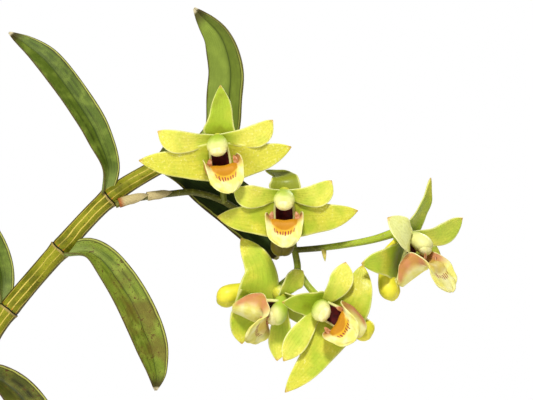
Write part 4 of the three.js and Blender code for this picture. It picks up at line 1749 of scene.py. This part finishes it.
# Each cane's course, and the shares of its length at which its joints lie
CANES = [
    Cane(
        "main_cane",
        path=[(0, 0, 64.3), (0, 0, 100), (2.5, 0, 123), (8, 0, 145.5), (14, 0, 164), (19.2, 0, 177),
              (24.7, 0, 185.7), (37.5, 0, 200.7), (49.7, 0, 213.5), (61, 0.5, 220.8), (68, 2, 224)],
        joints=(0.11, 0.225, 0.34, 0.455, 0.57, 0.6815, 0.7885, 0.8845, 0.972),
        radius=2.55, tip=1.8,
    ),
    Cane(
        "left_cane",
        path=[(-15, 10, 64.3), (-16, 11, 90), (-21, 13, 118), (-30, 16, 143), (-41, 19, 163)],
        joints=(0.18, 0.35, 0.51, 0.67, 0.83),
        radius=2.2, tip=1.5,
    ),
    Cane(
        "old_cane",
        path=[(14, 15, 64.3), (17, 19, 88), (23, 25, 110), (31, 30, 132), (38, 33, 148)],
        joints=(0.2, 0.38, 0.56, 0.73, 0.88),
        radius=2.1, tip=1.2, slot="dry_cane",
    ),
    Cane(
        "young_cane",
        path=[(-2, -17, 64.3), (-3, -19, 80), (-7, -23, 97), (-13, -27, 113)],
        joints=(0.3, 0.55, 0.78),
        radius=1.9, tip=1.4,
    ),
]

# Each leaf's cane, joint, width, facing, turn in degrees and course
LEAVES = [
    Leaf("leaf_upper_left", "main_cane", 7, 8.1, (0.55, -0.78, 0.3), 0,
         [(49.5, -1, 221), (47.2, -1, 227.7), (43.6, -0.5, 234.4), (34.3, 0.5, 247.1), (24.6, 2, 255)]),
    Leaf("leaf_top", "main_cane", 8, 12.2, (-0.22, -0.93, 0.25), 0,
         [(67.6, 7, 225), (74.4, 8, 224.8), (79.2, 7.6, 230.2), (80, 6.8, 239), (80.2, 6.2, 246.6),
          (77.6, 6, 254.6), (70.9, 7, 261.4)], lean=0.0, tone=0.8),
    Leaf("leaf_right", "main_cane", 6, 9.6, (0.1, -0.75, 0.66), 10,
         [(45.6, -1.5, 199.6), (52, -2.5, 192.8), (58.4, -3.5, 181), (61.3, -4, 171.5), (61.6, -4, 165.6)],
         coat=LeafCoat.FRECKLED),
    Leaf("leaf_left", "main_cane", 5, 8.6, (0.55, -0.78, 0.3), 0,
         [(22.8, 1, 193.4), (20.7, 1.5, 199.6), (16.5, 2, 206), (7.2, 3, 217.5), (-3.5, 4, 223.5)]),
    Leaf("leaf_lower_right", "main_cane", 4, 9.8, (0.1, -0.75, 0.66), 10,
         [(21.2, -1.5, 168.8), (28.6, -3, 163), (35.8, -5, 151), (39.6, -6.5, 141), (40.5, -7, 134)],
         coat=LeafCoat.BROWNED),
    Leaf("leaf_lower_left", "main_cane", 3, 9.4, (0.5, -0.8, 0.35), -8,
         [(3.4, -1, 152), (-2.5, -1, 159.5), (-11, -0.5, 166.5), (-23, 0.5, 171), (-34, 2, 170.5)]),
    Leaf("leaf_low_right", "main_cane", 2, 9.6, (0.1, -0.7, 0.7), 12,
         [(10, -1, 128.2), (18, -3, 128.5), (28, -5, 124), (36, -7, 114), (39.5, -8.5, 103)]),
    Leaf("leaf_shaded", "main_cane", 8, 12.4, (0.1, -0.97, 0.1), 0,
         [(69.8, 6.2, 219), (76, 9.2, 215.4), (85.2, 10.4, 207.8), (92, 10.8, 198)],
         fold=0.12, coat=LeafCoat.SHADED, lean=0.0),
    Leaf("left_cane_leaf_1", "left_cane", 1, 9.4, (-0.2, -0.75, 0.66), 0,
         [(-24, 10, 117), (-33, 8, 120), (-45, 6, 117), (-54, 4, 107)]),
    Leaf("left_cane_leaf_2", "left_cane", 2, 9.4, (0.2, -0.75, 0.6), 0,
         [(-16, 12, 138), (-11, 14, 147), (-7, 17, 158), (-6, 21, 170)]),
    Leaf("left_cane_leaf_3", "left_cane", 3, 9.6, (-0.3, -0.7, 0.66), 0,
         [(-39, 14, 152), (-48, 12, 156), (-59, 10, 154), (-68, 8, 145)]),
    Leaf("left_cane_leaf_4", "left_cane", 4, 9, (0.4, -0.8, 0.3), 0,
         [(-34, 20, 164.5), (-32, 21, 174), (-33, 23, 186), (-38, 26, 198)]),
    Leaf("young_cane_leaf_1", "young_cane", 0, 8.6, (-0.3, -0.5, 0.8), 0,
         [(2.6, -21, 91), (11, -25, 96), (21, -29, 96), (30, -33, 90)]),
    Leaf("young_cane_leaf_2", "young_cane", 1, 8.6, (-0.1, -0.6, 0.8), 0,
         [(-12, -21, 95.5), (-21, -22, 100), (-32, -24, 98.5), (-40, -27, 91)]),
    Leaf("young_cane_leaf_3", "young_cane", 2, 8.2, (-0.6, -0.5, 0.6), 0,
         [(-6, -30, 113), (-3, -33, 122), (0, -37, 132), (5, -42, 140)]),
]

# Each bloom's place and parts, with the parts as offsets from its middle, left one first
BLOOMS = [
    Bloom(
        "bloom_top", at=(77, -7, 227.75), forward=(0, -0.96, -0.27), up=(-0.15, 0, 1),
        dorsal=((0.9, -1.2, 7), (0.75, -3, 13.6)),
        petals=(((-9.6, -2.6, -0.4), (-14.8, -2.6, 2.2)), ((9.4, -2.6, 1.1), (13.7, -2.4, 5))),
        sepals=(((-10, -0.4, -5.6), (-19.5, -0.8, -5)), ((9.4, -0.4, -4.4), (18.3, -0.8, -1.6))),
        chin=(0.4, 2.4, -11.4), warmth=0.75, dorsal_warmth_and_shade=0.05, lip_shift=(1.7, 0.0, 0.0),
    ),
    Bloom(
        "bloom_middle", at=(93.5, -6, 214), forward=(0, -0.98, -0.18), up=(0, 0, 1),
        dorsal=((0.2, 2.0, 3.9), (-0.8, 5.2, 5.2), (-4.6, 7.6, 6.4)),
        petals=(((-8.2, -2.6, -0.2), (-12.6, -2.4, 1.6)), ((8, -2.6, 0.1), (11.8, -2.2, 3.8))),
        sepals=(((-9.6, -0.6, -5.6), (-16.6, -0.8, -5.2)), ((10.6, -0.6, -5.2), (18.3, -0.8, -3.6))),
        chin=(-0.6, 1, -14.8), warmth=0.5, dorsal_warmth_and_shade=-0.7, chin_shade=0.9,
    ),
    Bloom(
        "bloom_lower_left", at=(92.75, -3, 188), forward=(0.05, -0.64, -0.77), up=(0.99, 0, 0.03),
        dorsal=((4.6, 3.2, -3.4), (9.6, 5.6, -6)),
        petals=(((2.4, -0.6, 4), (5.5, 0.6, 7.4)), ((-0.2, 2.2, -8.6), (-1, 2.6, -15.2))),
        sepals=(((-5.4, 1.4, 8), (-10, 2, 15.5)), ((-9.6, 2, -5), (-9.8, 3.2, -11))),
        chin=(-16.0, 1.6, -0.1), warmth=0.4, dorsal_warmth_and_shade=-0.4, lip_shift=(0.0, 1.3, 0.4), plain_lip=0.7,
        lobe_spread=0.25, hood_lean=-1.5,
    ),
    Bloom(
        "bloom_lower_right", at=(102.8, -9, 186.7), forward=(-0.1, -0.96, -0.2), up=(-0.87, 0, 0.49),
        dorsal=((-5.4, -3, 1), (-9.8, -6, 1.2)),
        petals=(((-5.6, -2.8, -7.4), (-9.5, -2.8, -13.4)), ((4.2, -2.4, 5.4), (5.9, -2, 11))),
        sepals=(((-2, -0.8, -13), (-9.1, -1.2, -21.2)), ((8.4, -0.4, 1.8), (10.2, 2, 10.2))),
        chin=(12.2, 1.4, -7.4), warmth=0.55, dorsal_warmth_and_shade=0.1,
    ),
    Bloom(
        "bloom_right", at=(124.5, -4, 203.75), forward=(0.83, -0.5, -0.25), up=(0.3, 0, 0.95),
        dorsal=((3.8, 0, 7.8), (5.5, 0.4, 14.8)),
        petals=(((-0.1, -4.6, -1.0), (-1.9, -7.6, 1.5), (-5.6, -9.0, 4.9)),
                ((7.8, 4.4, 0.4), (13.8, 6.2, 4.8))),
        sepals=(((-6.4, -6, -5.8), (-12, -8.6, -6.4)), ((4, 8.4, -3.6), (8.6, 13.2, -4.6))),
        chin=(-4.2, 0.6, -15.8), warmth=0.35, dorsal_warmth_and_shade=0.2, lip_shift=(0.0, 0.9, 4.6), lip_turn=26.0,
        plain_lip=0.75, near_petal_painted_light=1.7, petal_scales=(1.45, 1.0), hood_lean=-0.8, pale_hood=0.6,
    ),
]

# Each run's course and end radii, the bloom it ends at, and how fresh both ends are
RUNS = [
    Run([(51.4, -1.5, 211.9), (54.4, -1.2, 212.9), (58.8, 0, 213.8), (65.5, 1.5, 214.6), (71.2, 3, 214.9),
         (78.8, 4.4, 212.4), (88, 4.6, 206), (96.5, 3.4, 200.4)], (0.88, 0.78)),
    Run([(78.4, 4.4, 212.4), (78, 2.4, 219), (77.4, 1.2, 225)], (0.8, 1.0), 0, (0.2, 0.9)),
    Run([(96, 3.6, 200.6), (95.6, 3.6, 206), (94.2, 2.6, 211)], (0.8, 1.0), 1, (0.2, 0.9)),
    Run([(96.2, 3.5, 200.6), (96.9, 3.2, 195.6), (95.2, 2.8, 193.6)], (0.85, 1.0), 2, (0.3, 0.9)),
    Run([(96.8, 3.2, 195.8), (99.2, 1.8, 192), (101.6, -0.6, 189.2)], (0.8, 1.0), 3, (0.4, 0.9)),
    Run([(96, 3.5, 200.4), (103, 2, 201), (110, 0.6, 202), (116, -0.6, 203.2)], (0.75, 0.95), 4, (0.0, 1.0)),
]

# Each bract's start and end as shares of the first run
BRACTS = [
    Bract("bract_lower", 0.02, 0.17, radius=1.12, wrap=240, stain=1.0),
    Bract("bract_upper", 0.165, 0.29, radius=1.05, wrap=215, stain=0.0),
]


class Plant:
    """The whole plant in its pot."""

    def build(self) -> None:
        """Builds every piece and dresses it."""
        pot = Pot()
        pot.build()
        BarkBed(pot).build([cane.path[0] for cane in CANES])
        self.build_canes_and_leaves()
        self.build_spray()

    def build_canes_and_leaves(self) -> None:
        """Builds the canes with their leaves."""
        living = CaneFinish("cane_sheath", "#5b5c08", "#75750f", "#8e8d1e", "#d3bb58").paint()
        dry = CaneFinish("dry_sheath", "#7b6638", "#a18b55", "#c2b07c", "#ddd0a4", 16.0).paint()
        for cane in CANES:
            cane.build(dry if cane.slot == "dry_cane" else living)
        coats = {
            LeafCoat.FRESH: LeafFinish("leaf_green", "#394510", "#52641a", "#869738"),
            LeafCoat.FRECKLED: LeafFinish("leaf_freckled", "#4c5a14", "#728226", "#9aa640", 0.8, -0.1),
            LeafCoat.BROWNED: LeafFinish("leaf_browned", "#2b2a0a", "#464a14", "#7a7a2a", 1.0, -0.1),
            LeafCoat.SHADED: LeafFinish("leaf_shaded", "#161f08", "#222f0c", "#304012"),
        }
        finishes = {coat: finish.paint() for coat, finish in coats.items()}
        canes = {cane.name: cane for cane in CANES}
        for leaf in LEAVES:
            leaf.build(canes, finishes[leaf.coat])

    def build_spray(self) -> None:
        """Builds the flower stalk, its bracts and the blooms."""
        stalk = StalkFinish("stalk_olive", "#54540c", "#a3b32c").paint()
        tiny = PlainFinish("tiny_bract_yellow", "#b9b04a", "#e0c878").paint()
        FlowerStalk(RUNS).build(BLOOMS, [stalk, tiny])
        paper = PaperFinish("papery_bract", "#cbbb84", "#9a824c", "#9c5210").paint()
        for bract in BRACTS:
            bract.build(RUNS[0], paper)
        coats = BloomCoats(
            sepal=SepalFinish("sepal_wax", "#a3b82c", "#d0ca40", "#dfdc86", "#c79a44", "#9db03c").paint(),
            petal=SepalFinish("petal_wax", "#b2c43c", "#d8d250", "#e8e5a0", "#d4a55a", "#dbe18c").paint(),
            chin=PlainFinish("chin_yellow", "#cfcb2e", "#eadc40", 0.4, 300.0).paint(),
            lip=LipFinish("lip_cream").paint(),
            lobe=PlainFinish("side_lobe_brown", "#a86a34", "#cf9a72", 0.5, 1200.0).paint(),
            column=ColumnFinish("column_green").paint(),
            cap=PlainFinish("anther_cap", "#e3dc86", "#efe8ac", 0.45).paint(),
            # The hollow's maroon, darkened as painted shade.
            throat=PlainFinish("throat_maroon_and_shade", "#3c0506", "#5d0d0b", 0.6).paint(),
        )
        for bloom in BLOOMS:
            bloom.build_outer(coats)
            bloom.build_lip(coats)
            bloom.build_column(coats)


# Floor, light and camera


@dataclass(frozen=True)
class Lamp:
    """A soft round lamp: its place, what it is turned to, its width and its power in watts."""

    name: str
    at: Point
    target: Point
    size: float
    power: float

    def build(self) -> None:
        """Adds the lamp."""
        data = bpy.data.lights.new(self.name, "AREA")
        data.shape, data.size, data.energy = "DISK", self.size * MM, self.power
        lamp = bpy.data.objects.new(self.name, data)
        lamp.location = Vector(self.at) * MM
        lamp.rotation_euler = (Vector(self.target) - Vector(self.at)).to_track_quat("-Z", "Y").to_euler()
        bpy.context.scene.collection.objects.link(lamp)


@dataclass(frozen=True)
class Studio:
    """The floor, the soft light and the camera at the photograph's angle."""

    eye: tuple[float, float, float] = (89.125, -800.0, 213.0)
    frame_width: float = 133.25
    sensor: float = 36.0
    floor_radius: float = 1400.0
    ambient: float = 0.24
    backdrop: float = 1.0
    clip: tuple[float, float] = (0.01, 20.0)
    lamps: Sequence[Lamp] = (
        Lamp("key_light", (60.0, -620.0, 690.0), (95.0, 0.0, 205.0), 120.0, 6.0),
        Lamp("fill_light", (-420.0, -480.0, 300.0), (80.0, 0.0, 190.0), 500.0, 1.6),
        Lamp("back_light", (420.0, 620.0, 520.0), (40.0, 0.0, 150.0), 500.0, 5.0),
    )

    def build(self) -> None:
        """Builds the floor, the world's light, the lamps and the camera."""
        self.build_floor()
        self.build_world()
        for lamp in self.lamps:
            lamp.build()
        self.build_camera()

    def build_floor(self) -> None:
        """Builds the plain pale floor."""
        form = bmesh.new()
        bmesh.ops.create_circle(form, cap_ends=True, segments=96, radius=self.floor_radius * MM)
        floor = to_object("floor", form)
        floor.data.materials.append(FloorFinish().paint())

    def build_world(self) -> None:
        """Makes the surroundings white to the eye, and a soft light to the plant."""
        world = bpy.data.worlds.new("studio")
        world.use_nodes = True
        tree = world.node_tree
        tree.nodes.clear()
        out = tree.nodes.new("ShaderNodeOutputWorld")
        mix = tree.nodes.new("ShaderNodeMixShader")
        seen = tree.nodes.new("ShaderNodeLightPath")
        for number, strength in enumerate((self.ambient, self.backdrop)):
            light = tree.nodes.new("ShaderNodeBackground")
            light.inputs["Strength"].default_value = strength
            light.inputs["Color"].default_value = (1, 1, 1, 1)
            tree.links.new(light.outputs[0], mix.inputs[1 + number])
        tree.links.new(seen.outputs["Is Camera Ray"], mix.inputs[0])
        tree.links.new(mix.outputs[0], out.inputs[0])
        bpy.context.scene.world = world
        bpy.context.scene.view_settings.view_transform = "Standard"

    def build_camera(self) -> None:
        """Adds the camera, level and square to the spray as in the photograph."""
        data = bpy.data.cameras.new("camera")
        data.sensor_width = self.sensor
        data.lens = self.sensor * abs(self.eye[1]) / self.frame_width
        data.clip_start, data.clip_end = self.clip
        camera = bpy.data.objects.new("camera", data)
        camera.location = Vector(self.eye) * MM
        camera.rotation_euler = (math.radians(90), 0, 0)
        bpy.context.scene.collection.objects.link(camera)
        bpy.context.scene.camera = camera


def main() -> None:
    """Builds the plant, then the studio round it."""
    logging.basicConfig(level=logging.INFO, format="%(name)s: %(message)s")
    Plant().build()
    Studio().build()


if __name__ == "__main__":
    main()
